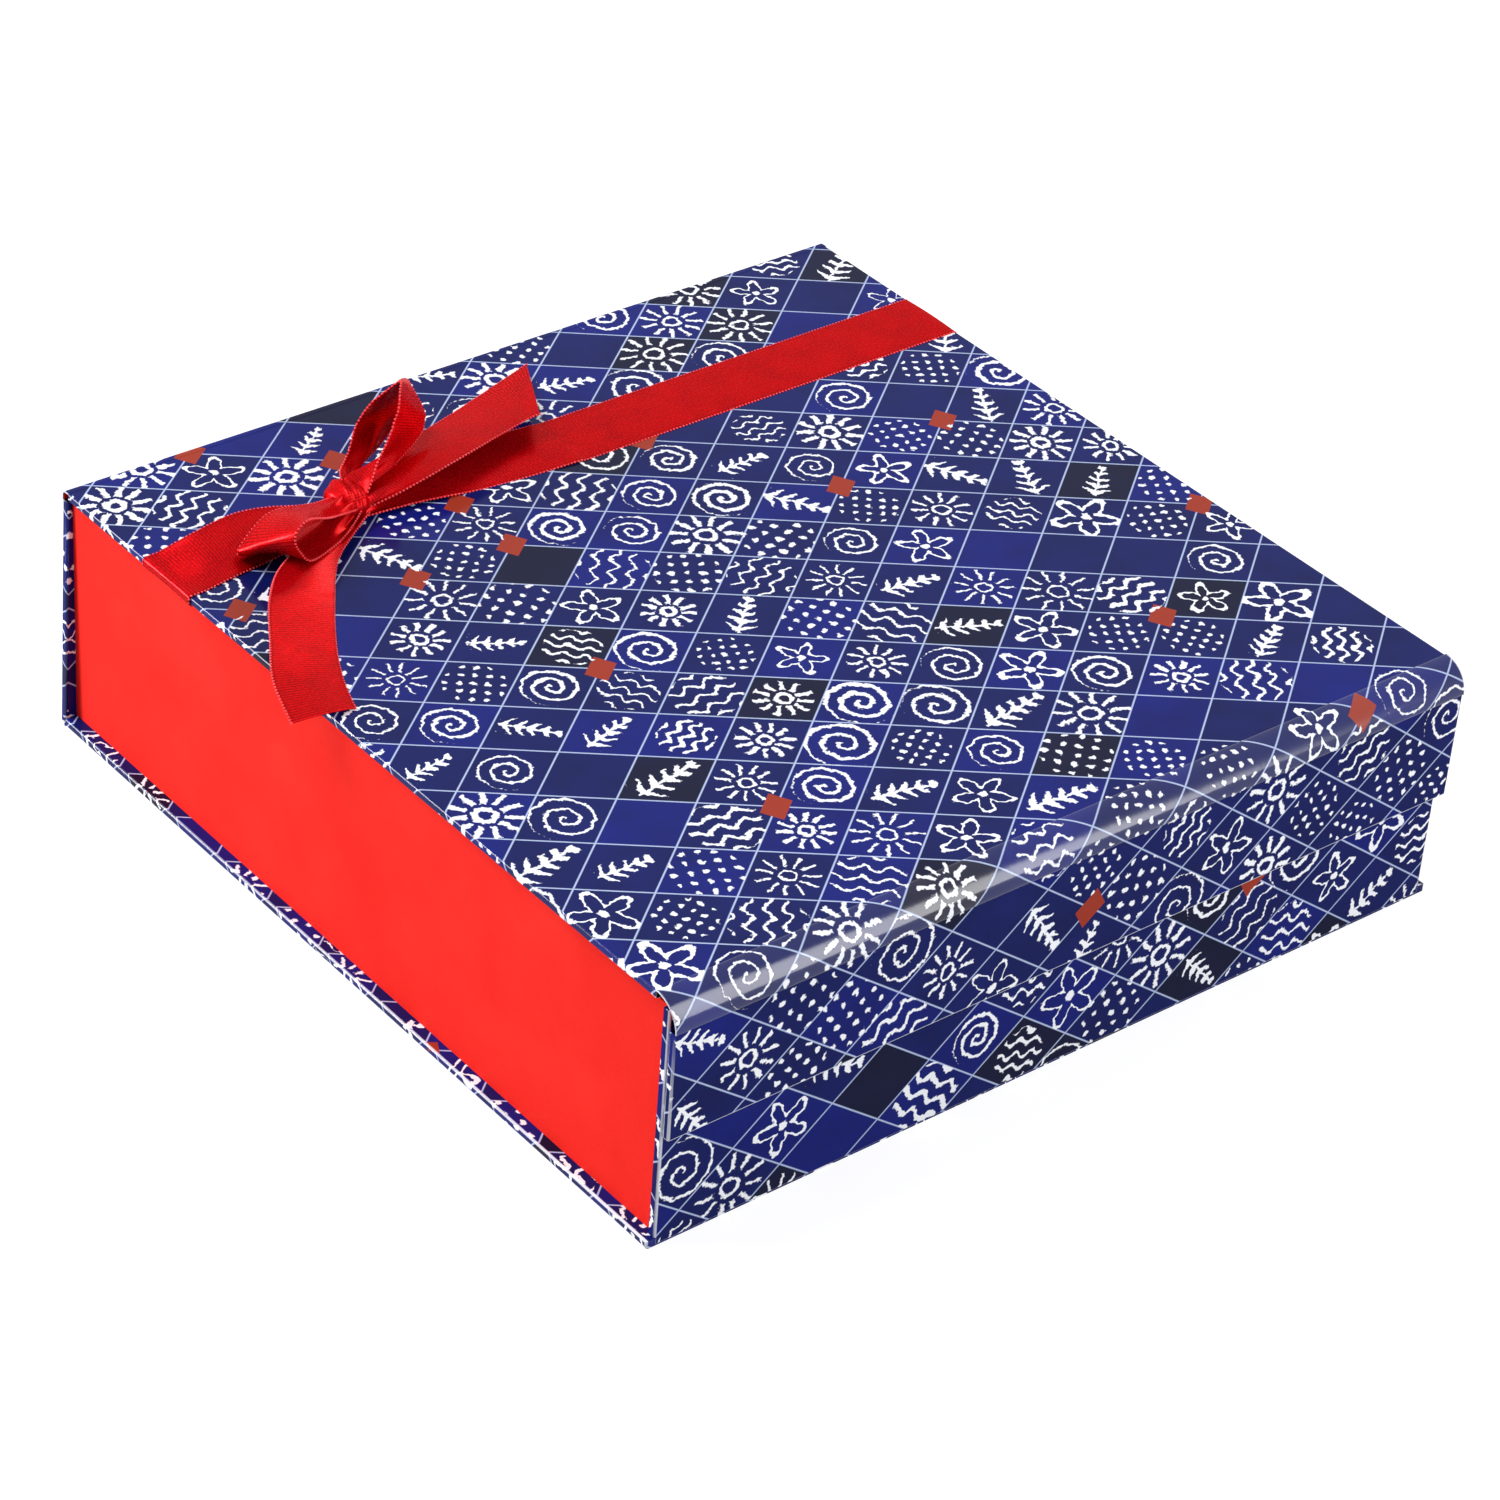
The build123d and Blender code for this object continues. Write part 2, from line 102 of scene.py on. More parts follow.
def meshPiece(name, points, faces, material, places=None, marks=None):
    # points in mm; places go to the "sheet" map, marks to the "fold" attribute, which carries the painted
    # highlight along folded edges
    mesh = bpy.data.meshes.new(name)
    mesh.from_pydata([tuple(c * mm for c in p) for p in points], [], faces)
    mesh.materials.append(material)
    if places:
        layer = mesh.uv_layers.new(name="sheet")
        for loop in mesh.loops:
            layer.data[loop.index].uv = places[loop.vertex_index]
    if marks:
        mesh.attributes.new("fold", "FLOAT", "POINT").data.foreach_set("value", marks)
    mesh.polygons.foreach_set("use_smooth", [True] * len(mesh.polygons))
    return linkPiece(name, mesh)


def faceOutwards(piece):
    bm = bmesh.new()
    bm.from_mesh(piece.data)
    bmesh.ops.recalc_face_normals(bm, faces=bm.faces)
    bm.to_mesh(piece.data)
    bm.free()


def applyModifiers(piece):
    solid = bpy.data.meshes.new_from_object(piece.evaluated_get(bpy.context.evaluated_depsgraph_get()))
    piece.modifiers.clear()
    piece.data = solid


camera = {
    "place": (-0.6874, -0.7982, 0.7470),
    "turn": (55.287, -3.693, -38.268),   # degrees; the photograph is tilted by about four degrees
    "lens": 113.87,
}
eye = bpy.data.objects.new("camera", bpy.data.cameras.new("camera"))
eye.location = camera["place"]
eye.rotation_euler = [math.radians(a) for a in camera["turn"]]
eye.data.lens = camera["lens"]
eye.data.sensor_width = 36
eye.data.clip_end = 20
bpy.context.scene.collection.objects.link(eye)
bpy.context.scene.camera = eye

lamps = {
    # place, aimed at, size across and up, watts
    "overheadSoftbox": ((-0.6, 0.5, 1.4), (0, 0, 0), (0.7, 0.7), 18),
    "leftSoftbox": ((-1.25, 1.2, 0.35), (0, 0, 0.05), (0.5, 0.5), 30),
    "bendStrip": ((0.78, -1.34, 0.80), (0, -0.13, 0.06), (0.44, 1.5), 19),   # the band on the front bend
    "rightFill": ((1.6, 0.4, 0.7), (0, 0, 0.03), (0.7, 0.7), 8),
    "frontFill": ((-0.15, -1.7, 0.45), (0, 0, 0.04), (0.9, 0.5), 6),
}
for name, (place, target, size, power) in lamps.items():
    light = bpy.data.lights.new(name, "AREA")
    light.shape = "RECTANGLE"
    light.size, light.size_y = size
    light.energy = power
    lamp = bpy.data.objects.new(name, light)
    lamp.location = place
    lamp.rotation_euler = (Vector(target) - Vector(place)).to_track_quat("-Z", "Y").to_euler()
    bpy.context.scene.collection.objects.link(lamp)

room = {"light": "f2f4f8", "strength": 0.15, "seenStrength": 1.0, "floor": "a6a6a8", "floorGlow": 0.8,
        "farGlow": 0.95}


def seenByEye(tree):
    # 1 for what the camera sees directly, in a mirror or through glass
    rays = addNode(tree, "ShaderNodeLightPath")
    found = {"seen": rays.outputs["Is Camera Ray"], "mirrored": rays.outputs["Is Glossy Ray"],
             "through": rays.outputs["Is Transmission Ray"]}
    addRows(tree, found, [
        ("two", "Math MAXIMUM", "seen", "mirrored"), ("any", "Math MAXIMUM", "two", "through"),
    ])
    return found["any"]


world = bpy.data.worlds.new("room")
bpy.context.scene.world = world
world.use_nodes = True
tree = world.node_tree
tree.nodes.clear()
lit = addNode(tree, "ShaderNodeBackground", {0: hexToLinear(room["light"]), 1: room["strength"]})
seen = addNode(tree, "ShaderNodeBackground", {0: (1, 1, 1, 1), 1: room["seenStrength"]})
both = addNode(tree, "ShaderNodeMixShader", {0: seenByEye(tree), 1: lit.outputs[0], 2: seen.outputs[0]})
addNode(tree, "ShaderNodeOutputWorld", {"Surface": both.outputs[0]})
bpy.context.scene.view_settings.view_transform = "Standard"

# White seamless paper: bright to the camera, but it still holds the box's soft shadow
floorLook, tree = startMaterial("seamlessPaper")
paper = addNode(tree, "ShaderNodeBsdfDiffuse", {"Color": hexToLinear(room["floor"])})
found = {"place": addNode(tree, "ShaderNodeTexCoord").outputs["Object"]}
addRows(tree, found, [
    ("far", "VectorMath LENGTH", "place"),
    ("glow", "MapRange", "far", 0.5, 2.5, room["floorGlow"], room["farGlow"]),
])
glow = addNode(tree, "ShaderNodeEmission", {"Color": (1, 1, 1, 1), "Strength": found["glow"]})
dark = addNode(tree, "ShaderNodeEmission", {"Color": (0, 0, 0, 1), "Strength": 0.0})
pick = addNode(tree, "ShaderNodeMixShader", {0: seenByEye(tree), 1: dark.outputs[0], 2: glow.outputs[0]})
endMaterial(tree, addNode(tree, "ShaderNodeAddShader", {0: paper.outputs[0], 1: pick.outputs[0]}))
floor = meshPiece("floor", [(-3000, -3000, 0), (3000, -3000, 0), (3000, 3000, 0), (-3000, 3000, 0)],
                  [(0, 1, 2, 3)], floorLook)
print("camera, light and floor ready")

# Offset print on paper under gloss film: dark, smooth, and it mirrors softly
printed = {
    "diamondWidth": 31.0, "diamondHeight": 24.0,   # mm, one cell of the trellis
    "strokeHalf": 0.34, "strokeMore": 0.42,        # thinnest brush line's half width, what the boldest adds
    "strokeRim": (0.74, 0.5), "rimWaver": 1.3, "motifReach": 9.2,
    "lineHalf": 0.011, "lineSoft": 0.006, "lineMost": 0.9, "foldHighlightMost": 0.85,
    "lozengeHalf": 0.22, "lozengeLean": 0.4, "lozengeNarrow": 1.3, "lozengeRare": 0.955,
    "navy": "0e1858", "blue": "101a6c", "ink": "0f1333", "white": "f4f6fc", "line": "b9c8ea", "red": "9a3524",
    # edge is the pale colour of the painted highlight along the folded edges
    "edge": "e8ebf6", "blueFrom": 0.58, "inkFrom": 0.88, "inkShade": (0.82, 1.18),
    # noises in mm, and their detail: waver of a brush line, its dry rim, uneven ink, orange peel of the
    # film and rubbed patches
    "noises": (("waver", 2.9, 2.0), ("bristle", 0.9, 3.0), ("cloud", 17, 4.0), ("peel", 1.8, 1.0),
               ("rub", 33, 5.0)),
    # lit and shaded copies of one print: more coat on the front bend for its lamp band, less on the upright
    # sheets to keep them dark
    "filmFlat": 0.32, "filmUpright": 0.14, "filmBendLit": 0.9,   # how much the film shines
    "filmRough": 0.14, "sheetRough": (0.4, 0.6), "peelHeight": 0.2,
}
# Brushed motifs, with sizes in mm from each motif's middle
motif = {
    "turn": (2.4, -1.2), "grow": (0.36, 0.86), "petals": (4.0, 5.0),   # random spread, then the least
    "waver": 2.6, "petalSwing": 2.7, "petalMiddle": 5.7, "petalBold": 1.4, "dot": 1.3, "coilPitch": 3.9,
    "rippleTurn": 0.95, "rippleGap": 2.2, "stemHalf": 0.42, "leafSlant": 0.62, "leafGap": 1.9,
    "leafHalf": 1.15, "leafTaper": 0.21, "sprigHalf": 3.4, "sprigTaper": 0.22,
    "rayTurn": 1.75, "rayNarrow": 0.55, "rayStart": 4.3, "hub": 2.3, "beadGap": 2.0, "beadRadius": 0.85,
    "kinds": 6.8,   # six motifs, and fewer empty cells
}
cellRows = [
    ("shift", "VectorMath SUBTRACT", "waverColour", (0.5, 0.5, 0.5)),
    ("brushed", "VectorMath MULTIPLY_ADD", "shift", (motif["waver"], motif["waver"], 0), "place"),
    ("flat", "SeparateXYZ", "place"), ("bent", "SeparateXYZ", "brushed"),
    # cell number and place in the cell, on the unbent lattice
    ("fx", "Math DIVIDE", "flat", printed["diamondWidth"]),
    ("fy", "Math DIVIDE", "flat2", printed["diamondHeight"]),
    ("p", "Math ADD", "fx", "fy"), ("q", "Math SUBTRACT", "fx", "fy"),
    ("pCell", "Math FLOOR", "p"), ("qCell", "Math FLOOR", "q"),
    ("pSide", "Math PINGPONG", "p", 0.5), ("qSide", "Math PINGPONG", "q", 0.5),
    # the middle of the cell in mm, then the brushed place measured from it
    ("pMid", "Math ADD", "pCell", 0.5), ("qMid", "Math ADD", "qCell", 0.5),
    ("sum", "Math ADD", "pMid", "qMid"), ("gap", "Math SUBTRACT", "pMid", "qMid"),
    ("midX", "Math MULTIPLY", "sum", printed["diamondWidth"] / 2),
    ("midY", "Math MULTIPLY", "gap", printed["diamondHeight"] / 2),
    ("aRaw", "Math SUBTRACT", "bent", "midX"), ("bRaw", "Math SUBTRACT", "bent2", "midY"),
    ("raw", "CombineXYZ", "aRaw", "bRaw"),
    # random numbers for each cell, each set with its own seed as third number
    ("cell", "CombineXYZ", "pCell", "qCell", 3.0), ("chance", "TexWhiteNoise", "cell"),
    ("pick", "SeparateColor", "chance2"),
    ("cellToo", "CombineXYZ", "pCell", "qCell", 11.0), ("more", "TexWhiteNoise", "cellToo"),
    ("weight", "SeparateColor", "more2"),
    ("turn", "Math MULTIPLY_ADD", "pick2", *motif["turn"]),
    ("grow", "Math MULTIPLY_ADD", "weight2", *motif["grow"]),
    ("sized", "VectorMath MULTIPLY", "raw", "grow"),
]
brushRows = [
    ("half", "Math MULTIPLY_ADD", "weight", printed["strokeMore"], printed["strokeHalf"]),
    ("aa", "Math MULTIPLY", "a", "a"), ("rr", "Math MULTIPLY_ADD", "b", "b", "aa"),
    ("r", "Math SQRT", "rr"), ("angle", "Math ARCTAN2", "b", "a"), ("bSize", "Math ABSOLUTE", "b"),
    ("outside", "Math SUBTRACT", "r", printed["motifReach"]),
    ("choice", "Math MULTIPLY", "pick", motif["kinds"]), ("kind", "Math FLOOR", "choice"),
    ("use", "Math MULTIPLY", "kind", 0.0),   # starts at zero, and the cell's own motif is added to it
]
# each motif's last row has its name, and is below zero inside the ink
motifRows = {
    # one looping outline round a dot
    "flower": [
        ("petals", "Math MULTIPLY_ADD", "chance", *motif["petals"]),
        ("petalCount", "Math FLOOR", "petals"), ("petalTurn", "Math MULTIPLY", "angle", "petalCount"),
        ("wave", "Math COSINE", "petalTurn"),
        ("petal", "Math MULTIPLY_ADD", "wave", motif["petalSwing"], motif["petalMiddle"]),
        ("petalOff", "Math SUBTRACT", "r", "petal"), ("petalLine", "Math ABSOLUTE", "petalOff"),
        ("bold", "Math MULTIPLY", "half", motif["petalBold"]),
        ("petalStroke", "Math SUBTRACT", "petalLine", "bold"),
        ("dot", "Math SUBTRACT", "r", motif["dot"]),
        ("flower", "Math MINIMUM", "petalStroke", "dot"),
    ],
    "spiral": [
        ("lap", "Math MULTIPLY", "angle", 0.5 / math.pi),
        ("ring", "Math MULTIPLY", "r", 1 / motif["coilPitch"]),
        ("coil", "Math SUBTRACT", "ring", "lap"), ("coilSide", "Math PINGPONG", "coil", 0.5),
        ("coilGap", "Math MULTIPLY", "coilSide", motif["coilPitch"]),
        ("coilStroke", "Math SUBTRACT", "coilGap", "half"),
        ("spiral", "Math MAXIMUM", "coilStroke", "outside"),
    ],
    "ripples": [
        ("along", "Math MULTIPLY", "a", motif["rippleTurn"]), ("swing", "Math SINE", "along"),
        ("lift", "Math ADD", "b", "swing"), ("rowSide", "Math PINGPONG", "lift", motif["rippleGap"]),
        ("rowStroke", "Math SUBTRACT", "rowSide", "half"),
        ("ripples", "Math MAXIMUM", "rowStroke", "outside"),
    ],
    # a stem with slanting leaves on both sides
    "sprig": [
        ("stem", "Math SUBTRACT", "bSize", motif["stemHalf"]),
        ("leafAt", "Math MULTIPLY", "bSize", motif["leafSlant"]),
        ("leafShift", "Math SUBTRACT", "a", "leafAt"),
        ("leafSide", "Math PINGPONG", "leafShift", motif["leafGap"]),
        ("taper", "Math MULTIPLY_ADD", "bSize", -motif["leafTaper"], motif["leafHalf"]),
        ("leaf", "Math SUBTRACT", "leafSide", "taper"),
        ("spread", "Math MULTIPLY_ADD", "a", -motif["sprigTaper"], motif["sprigHalf"]),
        ("leafEnd", "Math SUBTRACT", "bSize", "spread"), ("leafCut", "Math MAXIMUM", "leaf", "leafEnd"),
        ("leafy", "Math MINIMUM", "stem", "leafCut"), ("sprig", "Math MAXIMUM", "leafy", "outside"),
    ],
    # rays round a ring
    "sun": [
        ("rayTurn", "Math MULTIPLY", "angle", motif["rayTurn"]),
        ("raySide", "Math PINGPONG", "rayTurn", 0.5), ("rayGap", "Math MULTIPLY", "raySide", "r"),
        ("rayWide", "Math MULTIPLY", "rayGap", motif["rayNarrow"]),
        ("rayStroke", "Math SUBTRACT", "rayWide", "half"),
        ("rayIn", "Math SUBTRACT", motif["rayStart"], "r"),
        ("rayCut", "Math MAXIMUM", "rayStroke", "rayIn"),
        ("rayEnd", "Math MAXIMUM", "rayCut", "outside"),
        ("hubOff", "Math SUBTRACT", "r", motif["hub"]), ("hubLine", "Math ABSOLUTE", "hubOff"),
        ("hub", "Math SUBTRACT", "hubLine", "half"), ("sun", "Math MINIMUM", "rayEnd", "hub"),
    ],
    "beads": [
        ("beadX", "Math PINGPONG", "a", motif["beadGap"]),
        ("beadY", "Math PINGPONG", "b", motif["beadGap"]),
        ("beadXX", "Math MULTIPLY", "beadX", "beadX"),
        ("beadRR", "Math MULTIPLY_ADD", "beadY", "beadY", "beadXX"),
        ("beadR", "Math SQRT", "beadRR"), ("bead", "Math SUBTRACT", "beadR", motif["beadRadius"]),
        ("beads", "Math MAXIMUM", "bead", "outside"),
    ],
}
inkRows = [
    # the kind after the last motif is an empty cell
    ("bare", "Math COMPARE", "kind", float(len(motifRows)), 0.4),
    ("covered", "Math MULTIPLY_ADD", "bare", 5.0, "use"),
    # dry brush: the stroke's rim is uneven
    ("rough", "Math MULTIPLY_ADD", "bristle", printed["rimWaver"], "covered"),
    ("strokes", "MapRange", "rough", *printed["strokeRim"]),
    ("pEdge", "Math MINIMUM", "pSide", "qSide"),
    ("lines", "MapRange", "pEdge", printed["lineHalf"] + printed["lineSoft"],
     printed["lineHalf"] - printed["lineSoft"], 0.0, printed["lineMost"]),
    # red lozenges on a few crossings of the trellis
    ("pNear", "Math ROUND", "p"), ("qNear", "Math ROUND", "q"),
    ("pOff", "Math SUBTRACT", "p", "pNear"), ("qOff", "Math SUBTRACT", "q", "qNear"),
    ("leant", "Math MULTIPLY_ADD", "qOff", printed["lozengeLean"], "pOff"),
    ("pReach", "Math ABSOLUTE", "leant"), ("qSize", "Math ABSOLUTE", "qOff"),
    ("qReach", "Math MULTIPLY", "qSize", printed["lozengeNarrow"]),
    ("lozenge", "Math MAXIMUM", "pReach", "qReach"),
    ("inside", "Math LESS_THAN", "lozenge", printed["lozengeHalf"]),
    ("crossing", "CombineXYZ", "pNear", "qNear", 9.0), ("draw", "TexWhiteNoise", "crossing"),
    ("rare", "Math GREATER_THAN", "draw", printed["lozengeRare"]),
    ("accent", "Math MULTIPLY", "inside", "rare"),
    ("cloudy", "MapRange", "cloud", 0.3, 0.7, *printed["inkShade"]),
    ("ground", "VectorMath MULTIPLY", "shade", "cloudy"),
    # painted highlight along the folded edges, where the fold marks are set
    ("foldLine", "Math MULTIPLY", "fold", printed["foldHighlightMost"]),
    ("rubbed", "MapRange", "rub", 0.35, 0.7, *printed["sheetRough"]),
]


def printedLook(name, film):
    material, tree = startMaterial(name)
    found = {"place": addNode(tree, "ShaderNodeUVMap", uv_map="sheet").outputs[0]}
    for noise, size, detail in printed["noises"]:
        node = addNode(tree, "ShaderNodeTexNoise", {
            "Vector": found["place"], "Scale": 1 / size, "Detail": detail})
        found[noise], found[noise + "Colour"] = node.outputs[:2]
    addRows(tree, found, cellRows)
    turned = addNode(tree, "ShaderNodeVectorRotate", {
        "Vector": found["sized"], "Angle": found["turn"]}, rotation_type="Z_AXIS")
    found["a"], found["b"] = addNode(tree, "ShaderNodeSeparateXYZ", {0: turned.outputs[0]}).outputs[:2]
    addRows(tree, found, brushRows)
    for number, (drawn, rows) in enumerate(motifRows.items()):
        addRows(tree, found, rows + [
            ("is", "Math COMPARE", "kind", float(number), 0.4),
            ("use", "Math MULTIPLY_ADD", "is", drawn, "use"),
        ])
    shade = addNode(tree, "ShaderNodeValToRGB", {0: found["pick3"]})
    ramp = shade.color_ramp
    ramp.interpolation = "CONSTANT"
    ramp.elements[1].position = printed["blueFrom"]
    ramp.elements.new(printed["inkFrom"])
    for element, ink in zip(ramp.elements, ("navy", "blue", "ink")):
        element.color = hexToLinear(printed[ink])
    found["shade"] = shade.outputs[0]
    found["fold"] = addNode(tree, "ShaderNodeAttribute", attribute_name="fold").outputs["Fac"]
    addRows(tree, found, inkRows)
    colour = found["ground"]
    for mask, ink in (("lines", "line"), ("accent", "red"), ("strokes", "white"), ("foldLine", "edge")):
        mix = addNode(tree, "ShaderNodeMix", {
            0: found[mask], 6: colour, 7: hexToLinear(printed[ink])}, data_type="RGBA")
        colour = mix.outputs[2]
    bump = addNode(tree, "ShaderNodeBump", {
        "Height": found["peel"], "Strength": 0.05, "Distance": printed["peelHeight"] * mm})
    shader = addNode(tree, "ShaderNodeBsdfPrincipled", {
        "Base Color": colour, "Roughness": found["rubbed"], "Specular IOR Level": 0.0, "Coat Weight": film,
        "Coat Roughness": printed["filmRough"], "Coat IOR": 1.5, "Normal": bump.outputs[0],
        "Coat Normal": bump.outputs[0]})
    endMaterial(tree, shader)
    return material


laminatedPrint = printedLook("laminatedPrint", printed["filmFlat"])
# A shaded copy of the print: the upright sheets get less film shine, as they face the dim lower part of the
# studio
uprightPrint = printedLook("uprightLaminatedPrint", printed["filmUpright"])
# A lit copy of the print: more film shine over the front bend, which brightens the lamp's band there
bendLitPrint = printedLook("bendLitLaminatedPrint", printed["filmBendLit"])
print("printed sheet ready")


# wide clouds added to the fine grain of papers, boards and chocolates
mottle = {"times": 45, "share": 0.45, "between": (0.57, 0.87), "rough": (0.88, 1.1)}


def grainLook(name, base, other, grain, roughness, depth, mirror=0.5, pattern=None):
    # fine noise between two close colours, with a matching bump; grain and depth are in mm
    material, tree = startMaterial(name)
    found = {"place": addNode(tree, "ShaderNodeTexCoord").outputs["Object"]}
    fine = addNode(tree, "ShaderNodeTexNoise", {
        "Vector": found["place"], "Scale": 1 / (grain * mm), "Detail": 5.0, "Roughness": 0.65})
    wide = addNode(tree, "ShaderNodeTexNoise", {
        "Vector": found["place"], "Scale": 1 / (grain * mottle["times"] * mm), "Detail": 3.0})
    found["fine"], found["wide"] = fine.outputs[0], wide.outputs[0]
    addRows(tree, found, [
        ("blend", "Math MULTIPLY_ADD", "wide", mottle["share"], "fine"),
        ("share", "MapRange", "blend", *mottle["between"]),
        ("rough", "MapRange", "wide", 0.3, 0.7, *[min(1.0, roughness * r) for r in mottle["rough"]]),
    ])
    if pattern:
        addRows(tree, found, pattern)
    colour = addNode(tree, "ShaderNodeMix", {
        0: found["share"], 6: hexToLinear(base), 7: hexToLinear(other)}, data_type="RGBA")
    bump = addNode(tree, "ShaderNodeBump", {
        "Height": found.get("relief", found["fine"]), "Strength": 0.6, "Distance": depth * mm})
    shader = addNode(tree, "ShaderNodeBsdfPrincipled", {
        "Base Color": colour.outputs[2], "Roughness": found["rough"], "IOR": 1.45,
        "Specular IOR Level": mirror, "Normal": bump.outputs[0]})
    endMaterial(tree, shader)
    return material


quiltPitch = 9   # mm between the cushion's raised squares, which are relief for its bump
quilted = [
    ("scaled", "VectorMath MULTIPLY", "place", [1 / (quiltPitch * mm)] * 3),
    ("apart", "SeparateXYZ", "scaled"),
    ("rowWave", "Math PINGPONG", "apart", 0.5), ("columnWave", "Math PINGPONG", "apart2", 0.5),
    ("crease", "Math MINIMUM", "rowWave", "columnWave"),
    ("pillow", "Math SMOOTH_MIN", "crease", 0.3, 0.2),
    ("relief", "Math MULTIPLY_ADD", "fine", 0.15, "pillow"),
]
# Dyed matte paper: even bright red, fibres just visible close up
redPaper = grainLook("dyedMattePaper", "f02012", "e41a10", grain=0.5, roughness=0.75, depth=0.03, mirror=0.2)
# Pressed grey board: speckled recycled fibre, seen only at cut ends
greyBoard = grainLook("greyBoard", "8f8a80", "757067", grain=0.6, roughness=0.9, depth=0.06, mirror=0.2)
# Thermoformed brown polystyrene: smooth with a faint flow
mouldedSheet = grainLook("thermoformedSheet", "4a2b17", "3c2212", grain=3.0, roughness=0.32, depth=0.02)
# Embossed cushion paper between the layers
cushionPaper = grainLook("cushionPaper", "3a2415", "4b301d", grain=1.2, roughness=0.75, depth=1.2,
                         mirror=0.3, pattern=quilted)
# Tempered chocolate: satin, with a slight bloom
darkChocolate = grainLook("darkChocolate", "2c150c", "371c11", grain=1.5, roughness=0.38, depth=0.04)
milkChocolate = grainLook("milkChocolate", "5c3019", "6a3a20", grain=1.5, roughness=0.42, depth=0.04)
whiteChocolate = grainLook("whiteChocolate", "e6cd9c", "dcbf88", grain=1.5, roughness=0.45, depth=0.04)


rolled = {"stretch": 18, "rough": (0.7, 1.3), "lineDepth": 0.01}   # mm; scratches drawn out one way


def metalLook(name, base, roughness, scratch):
    material, tree = startMaterial(name)
    place = addNode(tree, "ShaderNodeTexCoord").outputs["Object"]
    drawn = addNode(tree, "ShaderNodeMapping", {"Vector": place, "Scale": (1, 1, rolled["stretch"])})
    lines = addNode(tree, "ShaderNodeTexNoise", {
        "Vector": drawn.outputs[0], "Scale": 1 / (scratch * mm), "Detail": 4.0})
    found = {"lines": lines.outputs[0]}
    between = [roughness * r for r in rolled["rough"]]
    addRows(tree, found, [("rough", "MapRange", "lines", 0.0, 1.0, *between)])
    bump = addNode(tree, "ShaderNodeBump", {
        "Height": found["lines"], "Strength": 0.3, "Distance": rolled["lineDepth"] * mm})
    shader = addNode(tree, "ShaderNodeBsdfPrincipled", {
        "Base Color": hexToLinear(base), "Metallic": 1.0, "Roughness": found["rough"],
        "Normal": bump.outputs[0]})
    endMaterial(tree, shader)
    return material


# Nickel plating on the magnets: bright, with faint lines
nickelPlate = metalLook("nickelPlate", "c9cbd0", roughness=0.18, scratch=2.0)
# Bare rolled strip steel: grey, its lines drawn one way
rolledSteel = metalLook("rolledSteel", "8c8f94", roughness=0.38, scratch=1.0)

nodeLooks = (
    (greyBoard, ("base_board", "front_board", "spine_board", "lid_board", "flap_board", "tray_bottom",
                 "tray_left_wall", "tray_right_wall", "tray_front_wall", "tray_back_wall")),
    (redPaper, ("lid_lining", "flap_lining", "tray_left_paper", "tray_right_paper", "tray_front_paper",
                "tray_back_paper", "tray_floor_paper")),
    (nickelPlate, ("flap_magnets",)), (rolledSteel, ("front_steel_discs",)),
    (mouldedSheet, ("lower_insert", "upper_insert")), (cushionPaper, ("layer_pad",)),
    (darkChocolate, ("square_pralines", "fluted_pralines")), (whiteChocolate, ("oval_pralines",)),
    (milkChocolate, ("dome_truffles", "finger_pralines", "hexagon_pralines")),
)
for look, names in nodeLooks:
    for name in names:
        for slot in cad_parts[name].material_slots:
            slot.material = look
print("papers and small parts ready")

# Wrapped panels, measured from the frame
case = {
    # the pale rim is the painted highlight along the side edges of the fold bands
    "round": 0.7, "liningStep": 0.1, "seam": 0.03, "paper": 0.25, "foldHighlightRim": 0.35,   # mm
    "originShift": 200,   # mm; moves the sheet's map off its own middle, so that both halves differ
    "frontShift": -620,   # mm; far from the flap's run, so that the two show other cells
    "roundSteps": 4, "bendSteps": 28, "hingeSteps": 8, "flatSteps": 3,
    "smoothUnder": 2e-5,   # m2; larger faces are flat ones
}


def nodeBox(name):
    low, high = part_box(name)
    return Vector(low) / mm, Vector(high) / mm


lidLow, lidHigh = nodeBox("lid_cover_sheet")
flapLow, flapHigh = nodeBox("flap_cover_sheet")
spineLow, spineHigh = nodeBox("spine_cover_sheet")
baseHigh = nodeBox("base_cover_sheet")[1]
frontLow, frontHigh = nodeBox("front_cover_sheet")
bendRadius = lidLow.y - flapLow.y
hingeSetback = spineHigh.y - lidHigh.y
hingeRadius = hingeSetback / 2
hingeRun = hingeSetback + math.pi / 2 * hingeRadius


